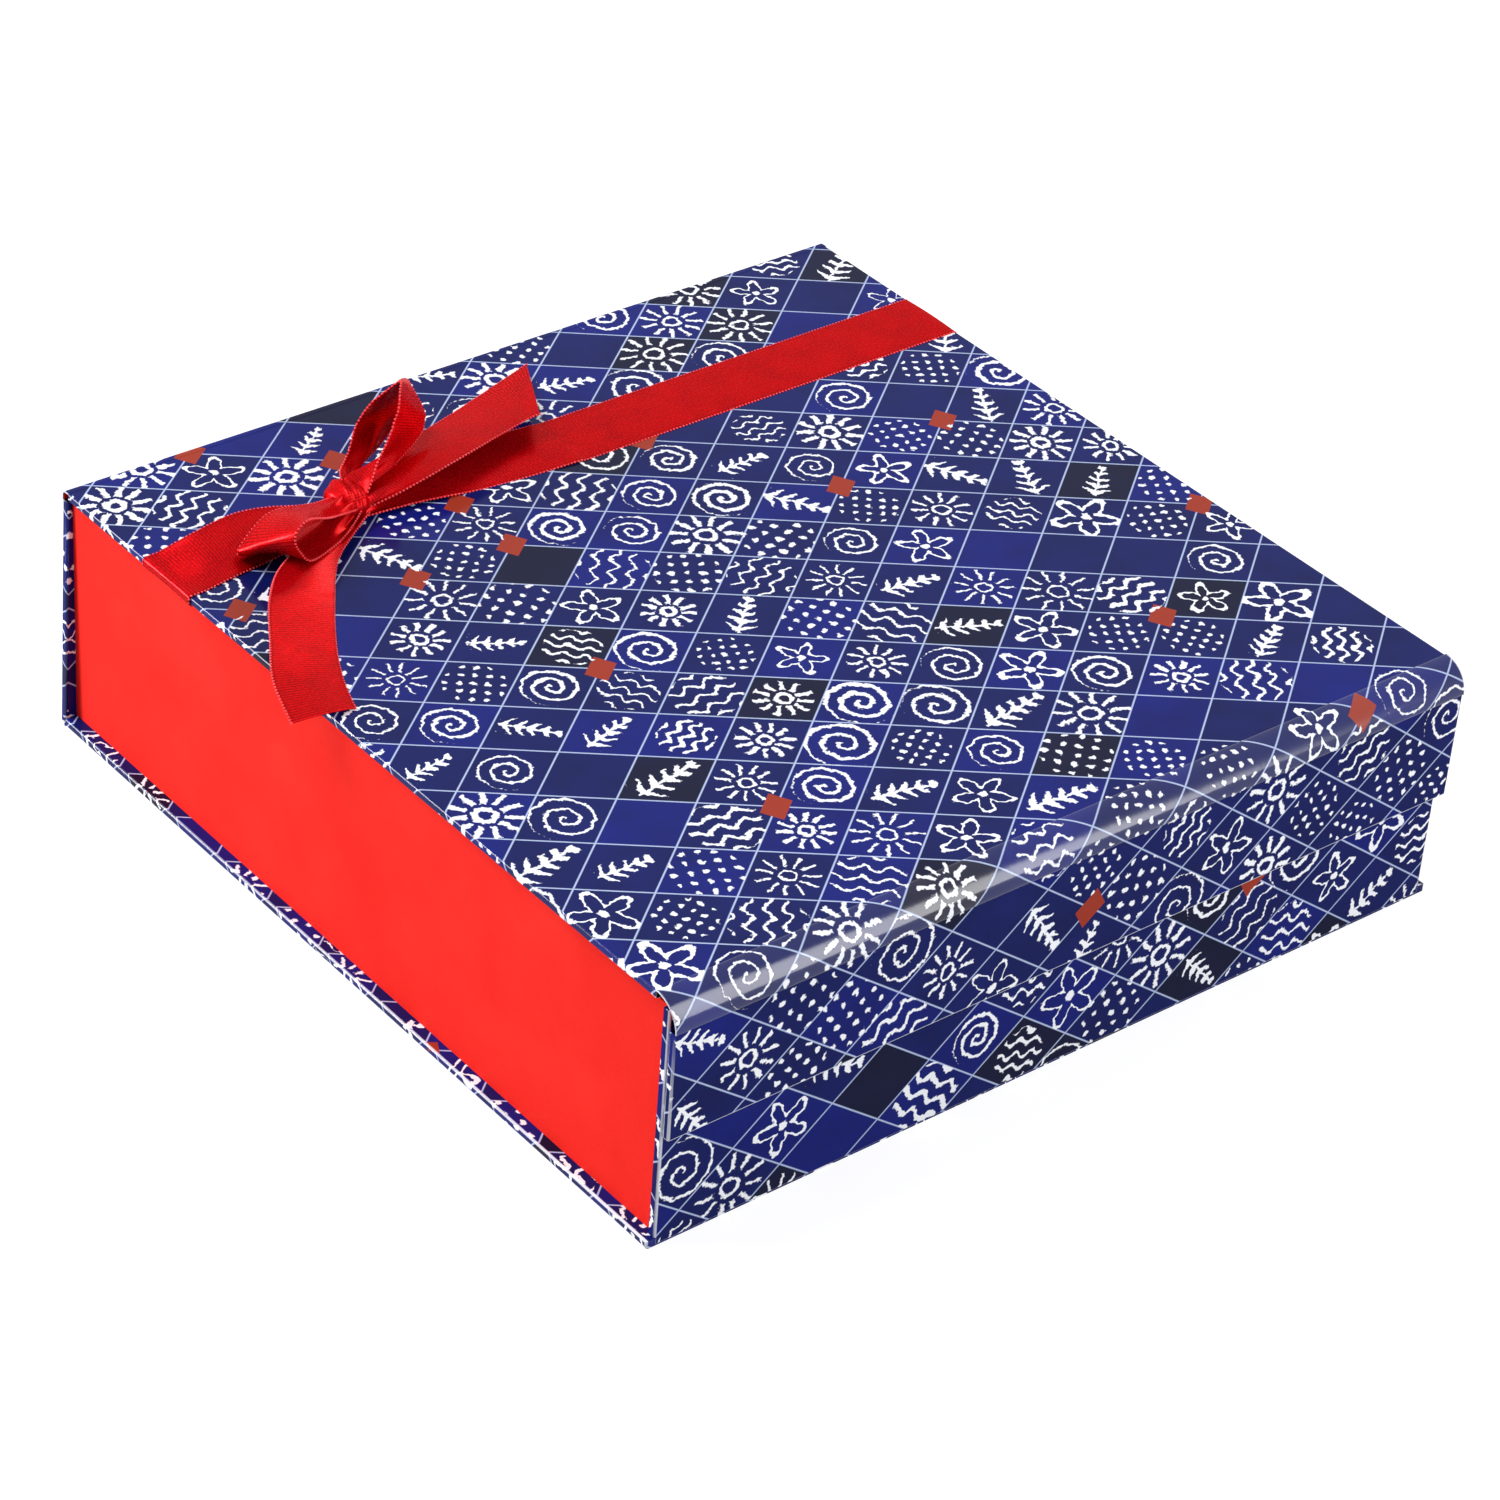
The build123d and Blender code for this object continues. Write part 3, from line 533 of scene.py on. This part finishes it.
def panelPiece(name, low, high, facing, runOf, rounded, look=laminatedPrint, skew=None):
    # a wrapped board with softly rounded folds. facing is the axis and way that its printed face looks,
    # runOf gives a point's run on the unfolded sheet, and rounded picks the folded edges
    axis, way = facing
    bm = bmesh.new()
    bmesh.ops.create_cube(bm, size=1)
    for vert in bm.verts:
        vert.co = [a + (c + 0.5) * (b - a) for a, b, c in zip(low, high, vert.co)]
    ends = [(e, e.verts[0].co, e.verts[1].co) for e in bm.edges]
    folded = [e for e, a, b in ends if rounded((a + b) / 2, b - a)]
    bmesh.ops.bevel(bm, geom=folded, offset=case["round"], segments=case["roundSteps"], profile=0.5,
                    affect="EDGES")
    bmesh.ops.recalc_face_normals(bm, faces=bm.faces)
    sheet = bm.loops.layers.uv.new("sheet")
    marks = bm.verts.layers.float.new("fold")
    face, thick = (high if way > 0 else low)[axis], high[axis] - low[axis]
    # vertices on the rounded folds get the painted highlight line
    for vert in bm.verts:
        gaps = [min(abs(vert.co[i] - low[i]), abs(vert.co[i] - high[i])) for i in range(3)]
        onHighlightedFold = sum(g < case["round"] * 0.99 for g in gaps) >= 2 and min(gaps) > 0.01
        vert[marks] = 1.0 if onHighlightedFold else 0.0
    for polygon in bm.faces:
        looks = polygon.normal
        for loop in polygon.loops:
            co = loop.vert.co
            depth = abs(co[axis] - face)
            across = abs(co.x)
            if abs(looks.x) > 0.6:
                across = high[0] + depth
            elif looks[axis] * way < -0.6:
                across = 2 * high[0] + thick - abs(co.x)
            loop[sheet].uv = (math.copysign(across, co.x) + case["originShift"], runOf(co, depth, looks))
    for vert in bm.verts:
        if skew:
            vert.co.x *= skew(vert.co)
        vert.co *= mm
    mesh = bpy.data.meshes.new(name)
    bm.to_mesh(mesh)
    bm.free()
    mesh.materials.append(look)
    mesh.polygons.foreach_set("use_smooth", [p.area < case["smoothUnder"] for p in mesh.polygons])
    return linkPiece(name, mesh)


lidHalf, baseHalf, frontHalf = lidHigh.x, baseHigh.x, frontHigh.x
lidPanel = panelPiece(
    "lidPanel", lidLow + Vector((0, 0, case["liningStep"])), lidHigh, (2, 1),
    lambda co, depth, looks: co.y,
    lambda mid, along: abs(along.y) > 1 and abs(mid.x) > lidHalf - 1)
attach(lidPanel, "lid")
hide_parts("lid_cover_sheet")

flapRun = lidLow.y - math.pi / 2 * bendRadius
flapPanel = panelPiece(
    "flapPanel", flapLow, flapHigh - Vector((0, case["liningStep"], 0)), (1, -1),
    lambda co, depth, looks: flapRun - (flapHigh.z - co.z) - (depth if looks.z < -0.6 else 0),
    lambda mid, along: (abs(mid.x) > lidHalf - 1 and abs(along.x) < 1 and mid.z < flapHigh.z - 1)
    or mid.z < flapLow.z + 1, uprightPrint)
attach(flapPanel, "flap")
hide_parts("flap_cover_sheet")

spineRun = lidHigh.y + hingeRun
spinePanel = panelPiece(
    "spinePanel", Vector((-baseHalf, spineLow.y, 0)), Vector((baseHalf, spineHigh.y, spineHigh.z)), (1, 1),
    lambda co, depth, looks: spineRun + spineHigh.z - co.z,
    lambda mid, along: abs(mid.x) > baseHalf - 1 and abs(along.z) > 1,
    skew=lambda co: 1 - (1 - lidHalf / baseHalf) * co.z / spineHigh.z)
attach(spinePanel, "case")
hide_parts("spine_cover_sheet")

basePanel = panelPiece(
    "basePanel", Vector((-baseHalf, frontLow.y + case["seam"], case["seam"])),
    Vector((baseHalf, spineLow.y + case["seam"], baseHigh.z)), (2, -1),
    lambda co, depth, looks: spineRun + spineHigh.z + spineHigh.y - co.y + (depth if looks.y < -0.6 else 0),
    lambda mid, along: abs(mid.x) > baseHalf - 1 and (abs(along.y) > 1 or mid.y < 0))
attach(basePanel, "case")
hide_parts("base_cover_sheet")

frontPanel = panelPiece(
    "frontPanel", frontLow, frontHigh, (1, -1),
    lambda co, depth, looks: co.z + case["frontShift"] + (depth if looks.z > 0.6 else 0),
    lambda mid, along: mid.y < frontLow.y + 1
    and (abs(mid.x) > frontHalf - 1 or mid.z > frontHigh.z - 1 or mid.z < 1), uprightPrint)
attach(frontPanel, "case")
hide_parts("front_cover_sheet")


def foldBand(name, line, half, look, runStart, way):
    # a paper band that follows a line in the YZ plane, with its map running on along it
    points, faces, places, marks = [], [], [], []
    inwards = []
    for i in range(len(line)):
        before, after = line[max(i - 1, 0)], line[min(i + 1, len(line) - 1)]
        along = Vector((0, after[0] - before[0], after[1] - before[1])).normalized()
        inwards.append(Vector((0, along.z, -along.y)))
    # the band's side rims carry the painted highlight of the folded edges
    rim = half - case["foldHighlightRim"]
    columns = [(-half, 1.0), (-rim, 0.0), (rim, 0.0), (half, 1.0)]
    for depth in (0.0, case["paper"]):
        run = 0.0
        for i, at in enumerate(line):
            run += math.dist(at, line[i - 1]) if i else 0.0
            for x, mark in columns:
                points.append((x, at[0] + inwards[i].y * depth, at[1] + inwards[i].z * depth))
                places.append((x + case["originShift"], runStart + way * run))
                marks.append(mark)
    count, size = len(columns), len(line) * len(columns)
    for i in range(len(line) - 1):
        for j in range(count - 1):
            a = i * count + j
            faces += [(a, a + 1, a + 1 + count, a + count),
                      (a + size, a + size + count, a + size + count + 1, a + size + 1)]
        for j in (0, count - 1):
            a, b = i * count + j, (i + 1) * count + j
            faces.append((a, b, b + size, a + size))
    for a in [i * count + j for i in (0, len(line) - 1) for j in range(count - 1)]:
        faces.append((a, a + size, a + 1 + size, a + 1))
    piece = meshPiece(name, points, faces, look, places, marks)
    faceOutwards(piece)
    return piece


def quarterTurn(centreY, centreZ, radius, way, count):
    # from the top of a fold down to its side; way is 1 towards the spine and -1 towards the flap
    turns = [math.pi / 2 * i / count for i in range(count + 1)]
    return [(centreY + way * radius * math.sin(t), centreZ + radius * math.cos(t)) for t in turns]


def bendLine(inset):
    return quarterTurn(lidLow.y, lidHigh.z - bendRadius, bendRadius - inset, -1, case["bendSteps"])


def hingeLine(inset):
    flats = [hingeRadius * i / case["flatSteps"] for i in range(case["flatSteps"])]
    turn = quarterTurn(spineHigh.y - hingeRadius, lidHigh.z - hingeRadius, hingeRadius - inset, 1,
                       case["hingeSteps"])
    start = [(lidHigh.y + f, lidHigh.z - inset) for f in flats]
    return start + turn + [(spineHigh.y - inset, spineHigh.z + f) for f in reversed(flats)]


for name, node, inset, look in (("flapBendSheet", "flap_bend_sheet", 0.0, bendLitPrint),
                                ("flapBendLining", "flap_bend_lining", case["paper"], redPaper)):
    band = foldBand(name, bendLine(inset), lidHalf - inset, look, lidLow.y, -1)
    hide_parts(node)
    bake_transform(band)
for name, node, inset, look in (("lidHingeSheet", "lid_hinge_sheet", 0.0, laminatedPrint),
                                ("lidHingeLining", "lid_hinge_lining", case["paper"], redPaper)):
    band = foldBand(name, hingeLine(inset), lidHalf - inset, look, lidHigh.y, 1)
    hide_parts(node)
    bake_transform(band)
print("panels and folds ready")

# Satin ribbon. Tables give one station a row: the middle's place from the knot's foot, the way across
# the band, and its half width, in ribbon widths
knotLow, knotHigh = nodeBox("ribbon_knot")
wrapLow, wrapHigh = nodeBox("ribbon_wrap")
ribbon = {
    "thick": 0.36, "corner": 0.9, "clear": 0.2, "cup": 0.25,   # mm
    "topStations": (0, 32, 64, 96, 127), "underStart": 128, "underStep": 8,   # mm from the middle
    "across": 40, "stepsBetween": 18, "cornerSteps": 8,
    "picotPitch": 1.1, "picotSize": 0.36, "ribPitch": 0.85,   # mm; real ribs and picots are half as far apart
    "floatGrain": 0.65, "crumple": 9, "relief": 0.05, "selvedge": (9.9, 10.5),   # mm
    "red": "ae0209", "deep": "700004", "paintedGlint": "e0101a", "blendMost": 0.7, "shine": "ff2a1c", "metal": 0.5,
    "stretchedShine": 0.5, "rough": (0.2, 0.33), "coat": 0.11, "coatRough": 0.22,
    "floatStretch": (0.55, 1.7, 1), "ribShare": 0.3, "crumpleShare": 1.6,
    # how far narrowed the cloth is where its broad fold is full and where its fine ones start
    "broadFull": 1.2, "fineFrom": 0.6, "fineWaves": 3, "fineTurn": 0.4, "turnOver": 3,
    # height of each band's one broad fold and of its fine ones at the knot, mm
    "folds": {"ribbonLeftLoop": (1.0, 2.0), "ribbonBackLoop": (2.2, 1.8), "ribbonFrontTail": (0.6, 1.0),
              "ribbonRightTail": (0.9, 1.0), "ribbonRightRun": (0.8, 0.8), "ribbonLeftRun": (1.4, 1.0)},
}
ribbonWidth = wrapHigh.y - wrapLow.y
knotFoot = Vector(((knotLow.x + knotHigh.x) / 2, (knotLow.y + knotHigh.y) / 2, lidHigh.z))
ribbonTables = {
    "leftLoop": [
        (0.05, 0.00, 0.31, (0, 1, -0.1), 0.23), (-0.52, -0.32, 0.48, (0.27, 0.92, -0.27), 0.33),
        (-1.18, -0.53, 0.69, (0.05, 0.92, -0.39), 0.47), (-1.53, -0.61, 0.50, (-0.21, 0.84, -0.49), 0.49),
        (-1.47, -0.60, 0.31, (-0.35, 0.84, -0.36), 0.45), (-1.20, -0.55, 0.25, (-0.19, 0.97, -0.15), 0.42),
        (-0.52, -0.35, 0.24, (-0.1, 1, -0.05), 0.30), (0.05, -0.07, 0.23, (0, 1, 0), 0.20)],
    "backLoop": [
        (0.00, 0.15, 0.29, (0.6, 0.7, -0.4), 0.16), (0.74, 0.66, 0.30, (0.85, 0.38, -0.38), 0.34),
        (1.14, 0.97, 0.50, (0.87, 0.33, -0.36), 0.48), (1.27, 1.02, 0.72, (0.76, 0.48, -0.42), 0.50),
        (1.51, 1.03, 0.93, (0.57, 0.67, -0.47), 0.50), (1.43, 0.78, 0.90, (0.64, 0.58, -0.5), 0.50),
        (1.33, 0.55, 0.71, (0.74, 0.45, -0.5), 0.50), (1.05, 0.38, 0.55, (0.78, 0.4, -0.45), 0.42),
        (0.14, 0.10, 0.33, (0.7, 0.6, -0.3), 0.16)],
    "frontTail": [
        (0.00, -0.20, 0.16, (0.8, -0.5, 0), 0.16), (-1.00, -0.79, 0.20, (0.93, -0.1, -0.2), 0.36),
        (-1.62, -1.48, 0.23, (0.92, 0.03, -0.38), 0.50), (-2.16, -2.30, 0.22, (0.92, 0.03, -0.36), 0.50),
        (-2.50, -2.91, 0.19, (0.94, 0, -0.3), 0.50), (-2.70, -3.52, 0.13, (0.97, 0.1, -0.2), 0.48)],
    "rightTail": [
        (0.14, 0.03, 0.16, (-0.25, 0.97, -0.1), 0.20), (0.77, 0.13, 0.28, (-0.25, 0.97, -0.15), 0.36),
        (1.64, 0.36, 0.30, (-0.25, 0.95, -0.22), 0.48), (2.64, 0.66, 0.27, (-0.2, 0.95, -0.2), 0.50),
        (3.43, 0.89, 0.27, (0.5, 0.86, -0.12), 0.77)],
    "rightRun": [
        (0.09, 0.00, 0.10, (0, 1, 0), 0.20), (0.82, 0.07, 0.10, (0, 1, 0), 0.34),
        (1.91, 0.07, 0.06, (0, 1, 0.1), 0.46), (3.09, 0.00, 0.03, (0, 1, 0), 0.50)],
    "leftRun": [
        (-0.05, 0.03, 0.15, (0, 1, 0), 0.20), (-0.55, 0.02, 0.17, (0, 0.93, 0.35), 0.26),
        (-1.27, 0.03, 0.17, (0, 0.95, 0.31), 0.40), (-1.95, -0.02, 0.13, (0, 0.97, 0.2), 0.43)],
}


def satinLook():
    # Woven polyester satin: ribs across the band, weft floats whose sparkle is painted as a lighter red
    # glint, and a bright grazing sheen
    material, tree = startMaterial("wovenSatin")
    found = {"place": addNode(tree, "ShaderNodeUVMap", uv_map="sheet").outputs[0]}
    floats = addNode(tree, "ShaderNodeMapping", {"Vector": found["place"], "Scale": ribbon["floatStretch"]})
    thread = addNode(tree, "ShaderNodeTexNoise", {
        "Vector": floats.outputs[0], "Scale": 1 / ribbon["floatGrain"], "Detail": 3.0})
    crumple = addNode(tree, "ShaderNodeTexNoise", {
        "Vector": found["place"], "Scale": 1 / ribbon["crumple"], "Detail": 3.0})
    found["thread"], found["crumple"] = thread.outputs[0], crumple.outputs[0]
    addRows(tree, found, [
        ("split", "SeparateXYZ", "place"),
        ("rib", "Math MULTIPLY", "split2", 2 * math.pi / ribbon["ribPitch"]),
        ("ribWave", "Math SINE", "rib"),
        ("weave", "Math MULTIPLY_ADD", "ribWave", ribbon["ribShare"], "thread"),
        ("height", "Math MULTIPLY_ADD", "crumple", ribbon["crumpleShare"], "weave"),
        # thin darker selvedge inside each picot edge
        ("edge", "Math ABSOLUTE", "split"),
        ("selvedge", "MapRange", "edge", *ribbon["selvedge"], 0.0, 0.5),
        # lighter red painted on the weave's high threads: a painted glint
        ("share", "MapRange", "weave", 0.35, 0.75),
        # deeper red in patches that follow the crumple noise
        ("worn", "MapRange", "crumple", 0.35, 0.65, 0.0, 0.6),
        ("rough", "MapRange", "thread", 0.3, 0.7, *ribbon["rough"]),
    ])
    colour = hexToLinear(ribbon["red"])
    for mask, name in (("worn", "deep"), ("share", "paintedGlint"), ("selvedge", "deep")):
        addRows(tree, found, [("strength", "Math MULTIPLY", mask, ribbon["blendMost"])])
        mix = addNode(tree, "ShaderNodeMix", {
            0: found["strength"], 6: colour, 7: hexToLinear(ribbon[name])}, data_type="RGBA")
        colour = mix.outputs[2]
    bump = addNode(tree, "ShaderNodeBump", {
        "Height": found["height"], "Strength": 0.7, "Distance": ribbon["relief"] * mm})
    along = addNode(tree, "ShaderNodeTangent", direction_type="UV_MAP", uv_map="sheet")
    shader = addNode(tree, "ShaderNodeBsdfPrincipled", {
        "Base Color": colour, "Metallic": ribbon["metal"], "Roughness": found["rough"],
        "Specular IOR Level": 0.0, "Specular Tint": hexToLinear(ribbon["shine"]),
        "Anisotropic": ribbon["stretchedShine"], "Coat Weight": ribbon["coat"],
        "Coat Roughness": ribbon["coatRough"], "Coat IOR": 1.5, "Normal": bump.outputs[0],
        "Tangent": along.outputs[0]})
    endMaterial(tree, shader)
    return material


satin = satinLook()
# Picot thread: twisted yarn, its red lightened as a painted highlight, so it is brighter than the satin's
# shaded side
paintedHighlightPicot = grainLook("paintedHighlightPicot", "ff5e62", "f03038", grain=0.25, roughness=0.5, depth=0.03, mirror=0.3)


def smoothRows(rows):
    # a smooth curve through the rows, with even steps between them
    found = []
    for i in range(len(rows) - 1):
        around = rows[max(i - 1, 0)], rows[i], rows[i + 1], rows[min(i + 2, len(rows) - 1)]
        for k in range(ribbon["stepsBetween"]):
            t = k / ribbon["stepsBetween"]
            weights = (-t + 2 * t**2 - t**3, 2 - 5 * t**2 + 3 * t**3, t + 4 * t**2 - 3 * t**3, t**3 - t**2)
            found.append([sum(w * v for w, v in zip(weights, four)) / 2 for four in zip(*around)])
    return found + [list(rows[-1])]


def stripGrid(rows, folds):
    # rows of middle and half-across vectors, in mm; gives points, places, the two edge lines and the length
    count = ribbon["across"]
    middles, sides = [Vector(r[:3]) for r in rows], [Vector(r[3:]) for r in rows]
    points, places, edges = [], [], ([], [])
    run = 0.0
    for i, (middle, side) in enumerate(zip(middles, sides)):
        run += (middle - middles[i - 1]).length if i else 0.0
        along = middles[min(i + 1, len(rows) - 1)] - middles[max(i - 1, 0)]
        normal = side.cross(along).normalized()
        narrow = max(ribbonWidth / 2 / side.length - 1, 0)
        # gathered cloth keeps its width: it bulges in one broad fold, and in fine ones near the knot
        upwards = max(-1.0, min(1.0, ribbon["turnOver"] * normal.z))
        broad = folds[0] * math.sqrt(min(narrow / ribbon["broadFull"], 1.0)) * upwards
        fine = folds[1] * min(max(narrow - ribbon["fineFrom"], 0.0), 1.0)
        for j in range(count + 1):
            c = -1 + 2 * j / count
            ripple = math.cos(ribbon["fineWaves"] * math.pi * c + ribbon["fineTurn"])
            wave = broad * (math.cos(math.pi * c) - 0.5) + fine * ripple
            cup = ribbon["cup"] * (c * c - 0.4)
            points.append(middle + side * c + normal * (wave + cup))
            places.append((c * ribbonWidth / 2, run))
        edges[0].append(points[-count - 1])
        edges[1].append(points[-1])
    return points, places, edges, run


picotLines = []


def stripPiece(name, rows, nodes):
    points, places, edges, run = stripGrid(rows, ribbon["folds"][name])
    count = ribbon["across"] + 1
    faces = [(i * count + j, i * count + j + 1, (i + 1) * count + j + 1, (i + 1) * count + j)
             for i in range(len(rows) - 1) for j in range(count - 1)]
    piece = meshPiece(name, points, faces, satin, places)
    share = sum(p.area for p in piece.data.polygons) / (ribbonWidth * run * mm * mm)
    thicken = piece.modifiers.new("thicken", "SOLIDIFY")
    thicken.thickness = ribbon["thick"] * mm
    thicken.offset = 0
    applyModifiers(piece)
    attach(piece, "lid")
    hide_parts(*nodes)
    picotLines.extend(edges)
    print(name, "length", round(run, 1), "mm, cloth", round(share, 2), "of its flat area")


def tableRows(name, extra=()):
    rows = []
    for x, y, z, across, halfShare in ribbonTables[name]:
        middle = knotFoot + Vector((x, y, z)) * ribbonWidth
        rows.append([*middle, *(Vector(across).normalized() * halfShare * ribbonWidth)])
    return smoothRows(rows + list(extra))


def flatRow(x, z):
    return [x, knotFoot.y, z, 0, ribbonWidth / 2, 0]


def wrapRows(way):
    # round the lid's edge in small steps, then under it to the middle
    corner, clear, steps, found = ribbon["corner"], ribbon["clear"], ribbon["cornerSteps"], []
    for level, sign in ((lidHigh.z - corner, 1), (lidLow.z + corner, -1)):
        for k in range(1, steps + 1):
            turn = math.pi / 2 * (k / steps if sign > 0 else 1 - k / steps)
            x = lidHalf - corner + (corner + clear) * math.sin(turn)
            found.append(flatRow(way * x, level + sign * (corner + clear) * math.cos(turn)))
    under = range(ribbon["underStart"], -1, -ribbon["underStep"])
    return found + [flatRow(way * x, lidLow.z - clear) for x in under]


stripPiece("ribbonLeftLoop", tableRows("leftLoop"), ["ribbon_left_loop"])
stripPiece("ribbonBackLoop", tableRows("backLoop"), ["ribbon_back_loop"])
stripPiece("ribbonFrontTail", tableRows("frontTail"), ["ribbon_front_tail"])
stripPiece("ribbonRightTail", tableRows("rightTail"), ["ribbon_right_tail"])
flatTop = lidHigh.z + ribbon["clear"]
rightRows = tableRows("rightRun", [flatRow(x, flatTop) for x in ribbon["topStations"]])
leftRows = tableRows("leftRun", [flatRow(-ribbon["topStations"][-1], flatTop)])
stripPiece("ribbonRightRun", rightRows + wrapRows(1), ["ribbon_right_run"])
stripPiece("ribbonLeftRun", leftRows + wrapRows(-1), ["ribbon_left_run", "ribbon_wrap"])

knot = {
    "halfLength": 4.9, "halfWidth": 6.278, "halfHeight": 4.2, "lean": 0.25, "endShare": 0.3,
    "fullness": 3.2, "around": 72, "along": 36, "mapHalf": 7.5, "mapTurn": 6.0,
    # folds that run round the knot: place along it from -1 to 1, height in mm, width
    "folds": ((-0.28, 1.2, 0.26), (0.36, 0.45, 0.13), (0.68, 0.4, 0.12)),
}


def knotPiece():
    # the band pulled round the middle: a short drum whose folds run round it, a little twisted
    around, along, endShare = knot["around"], knot["along"], knot["endShare"]
    rise = (knotLow.z + knotHigh.z) / 2
    points, places, faces = [], [], []
    for i in range(along + 1):
        t = -1 + 2 * i / along
        swell = max(1 - abs(t) ** knot["fullness"], 0.0) ** 0.5
        narrowed = endShare + (1 - endShare) * swell
        for j in range(around):
            turn = 2 * math.pi * j / around
            leant = t - knot["lean"] * math.cos(turn)
            ridge = sum(h * math.exp(-((leant - at) / w) ** 2) for at, h, w in knot["folds"]) * swell
            y = (knot["halfWidth"] + ridge) * math.cos(turn) * narrowed
            z = (knot["halfHeight"] + ridge) * math.sin(turn) * narrowed
            points.append((knotFoot.x + t * knot["halfLength"], knotFoot.y + y, rise + z))
            places.append((t * knot["mapHalf"], turn * knot["mapTurn"]))
    for i in range(along):
        for j in range(around):
            k = (j + 1) % around
            faces.append((i * around + j, i * around + k, (i + 1) * around + k, (i + 1) * around + j))
    faces += [tuple(range(around)), tuple(range(along * around, (along + 1) * around))]
    piece = meshPiece("ribbonKnot", points, faces, satin, places)
    faceOutwards(piece)
    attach(piece, "lid")
    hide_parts("ribbon_knot")


knotPiece()


def linePiece(name, lines):
    # bare lines in mm, for Geometry Nodes to follow
    points, edges = [], []
    for line in lines:
        start = len(points)
        points.extend(tuple(c * mm for c in p) for p in line)
        edges.extend((start + i, start + i + 1) for i in range(len(line) - 1))
    mesh = bpy.data.meshes.new(name)
    mesh.from_pydata(points, edges, [])
    return linkPiece(name, mesh)


def startTree(name, sizes):
    tree = bpy.data.node_groups.new(name, "GeometryNodeTree")
    tree.interface.new_socket("Geometry", in_out="INPUT", socket_type="NodeSocketGeometry")
    sockets = {size: tree.interface.new_socket(size, in_out="INPUT", socket_type="NodeSocketFloat")
               for size in sizes}
    tree.interface.new_socket("Geometry", in_out="OUTPUT", socket_type="NodeSocketGeometry")
    return tree, sockets, addNode(tree, "NodeGroupInput")


def endTree(tree, result, look):
    real = addNode(tree, "GeometryNodeRealizeInstances", {0: result.outputs[0]})
    dressed = addNode(tree, "GeometryNodeSetMaterial", {"Geometry": real.outputs[0], "Material": look})
    addNode(tree, "NodeGroupOutput", {0: dressed.outputs[0]})


def runTree(piece, tree, sockets, sizes):
    modifier = piece.modifiers.new(tree.name, "NODES")
    modifier.node_group = tree
    for size, value in sizes.items():
        modifier[sockets[size].identifier] = value * mm
    applyModifiers(piece)
    piece.data.polygons.foreach_set("use_smooth", [True] * len(piece.data.polygons))


def picotTree():
    # small yarn loops set along every selvedge
    tree, sockets, given = startTree("picotAlongEdge", ("Pitch", "Loop size"))
    curve = addNode(tree, "GeometryNodeMeshToCurve", {"Mesh": given.outputs["Geometry"]})
    spaced = addNode(tree, "GeometryNodeResampleCurve", {
        "Curve": curve.outputs[0], "Length": given.outputs["Pitch"]}, mode="LENGTH")
    bead = addNode(tree, "GeometryNodeMeshIcoSphere", {
        "Radius": given.outputs["Loop size"], "Subdivisions": 1})
    loops = addNode(tree, "GeometryNodeInstanceOnPoints", {
        "Points": spaced.outputs[0], "Instance": bead.outputs[0]})
    endTree(tree, loops, paintedHighlightPicot)
    return tree, sockets


picot = linePiece("ribbonPicot", picotLines)
runTree(picot, *picotTree(), {"Pitch": ribbon["picotPitch"], "Loop size": ribbon["picotSize"]})
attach(picot, "lid")
print("ribbon ready")

# Piped lines on the chocolates, one wavy line on each that has them
piping = {"cups": 6, "thick": 0.55, "sink": 0.1, "stepsPerWave": 12}   # sizes in mm
chocolateNames = ("square_pralines", "dome_truffles", "oval_pralines", "finger_pralines", "fluted_pralines",
                  "hexagon_pralines")
pipedLines = {
    # length, swing either way and number of waves, in mm; then the line's turn in degrees
    "square_pralines": (17, 5.5, 4, 45), "oval_pralines": (17, 3.2, 5, 0), "finger_pralines": (18, 2.6, 6, 0),
    "hexagon_pralines": (12, 4.0, 3, 30),
}


def wavyLine(name, middle):
    length, swing, waves, turn = pipedLines[name]
    turn = math.radians(turn)
    cosine, sine = math.cos(turn), math.sin(turn)
    line, steps = [], waves * piping["stepsPerWave"]
    for k in range(steps + 1):
        t = k / steps
        a, b = length * (t - 0.5), swing * math.sin(2 * math.pi * waves * t)
        line.append((middle[0] + a * cosine - b * sine, middle[1] + a * sine + b * cosine, middle[2]))
    return line


def pipingTree(look):
    # a round bead of chocolate along each line
    tree, sockets, given = startTree("pipedChocolate", ("Half thickness",))
    curve = addNode(tree, "GeometryNodeMeshToCurve", {"Mesh": given.outputs["Geometry"]})
    section = addNode(tree, "GeometryNodeCurvePrimitiveCircle", {
        "Resolution": 6, "Radius": given.outputs["Half thickness"]})
    beads = addNode(tree, "GeometryNodeCurveToMesh", {
        "Curve": curve.outputs[0], "Profile Curve": section.outputs[0], "Fill Caps": True})
    endTree(tree, beads, look)
    return tree, sockets


insertLow, insertHigh = nodeBox("upper_insert")
layerStep = insertLow.z - nodeBox("lower_insert")[0].z
darkLines, whiteLines = [], []
for row in range(piping["cups"]):
    for column in range(piping["cups"]):
        name = chocolateNames[(column + 2 * row) % len(chocolateNames)]
        if name not in pipedLines:
            continue
        x = insertLow.x + (column + 0.5) * (insertHigh.x - insertLow.x) / piping["cups"]
        y = insertLow.y + (row + 0.5) * (insertHigh.y - insertLow.y) / piping["cups"]
        top = nodeBox(name)[1].z + piping["thick"] / 2 - piping["sink"]
        lines = darkLines if name in ("oval_pralines", "finger_pralines") else whiteLines
        lines += [wavyLine(name, (x, y, z)) for z in (top, top - layerStep)]
for name, lines, look in (("pipingDark", darkLines, darkChocolate),
                          ("pipingWhite", whiteLines, whiteChocolate)):
    piece = linePiece(name, lines)
    runTree(piece, *pipingTree(look), {"Half thickness": piping["thick"] / 2})
    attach(piece, "case")
print("chocolates piped")
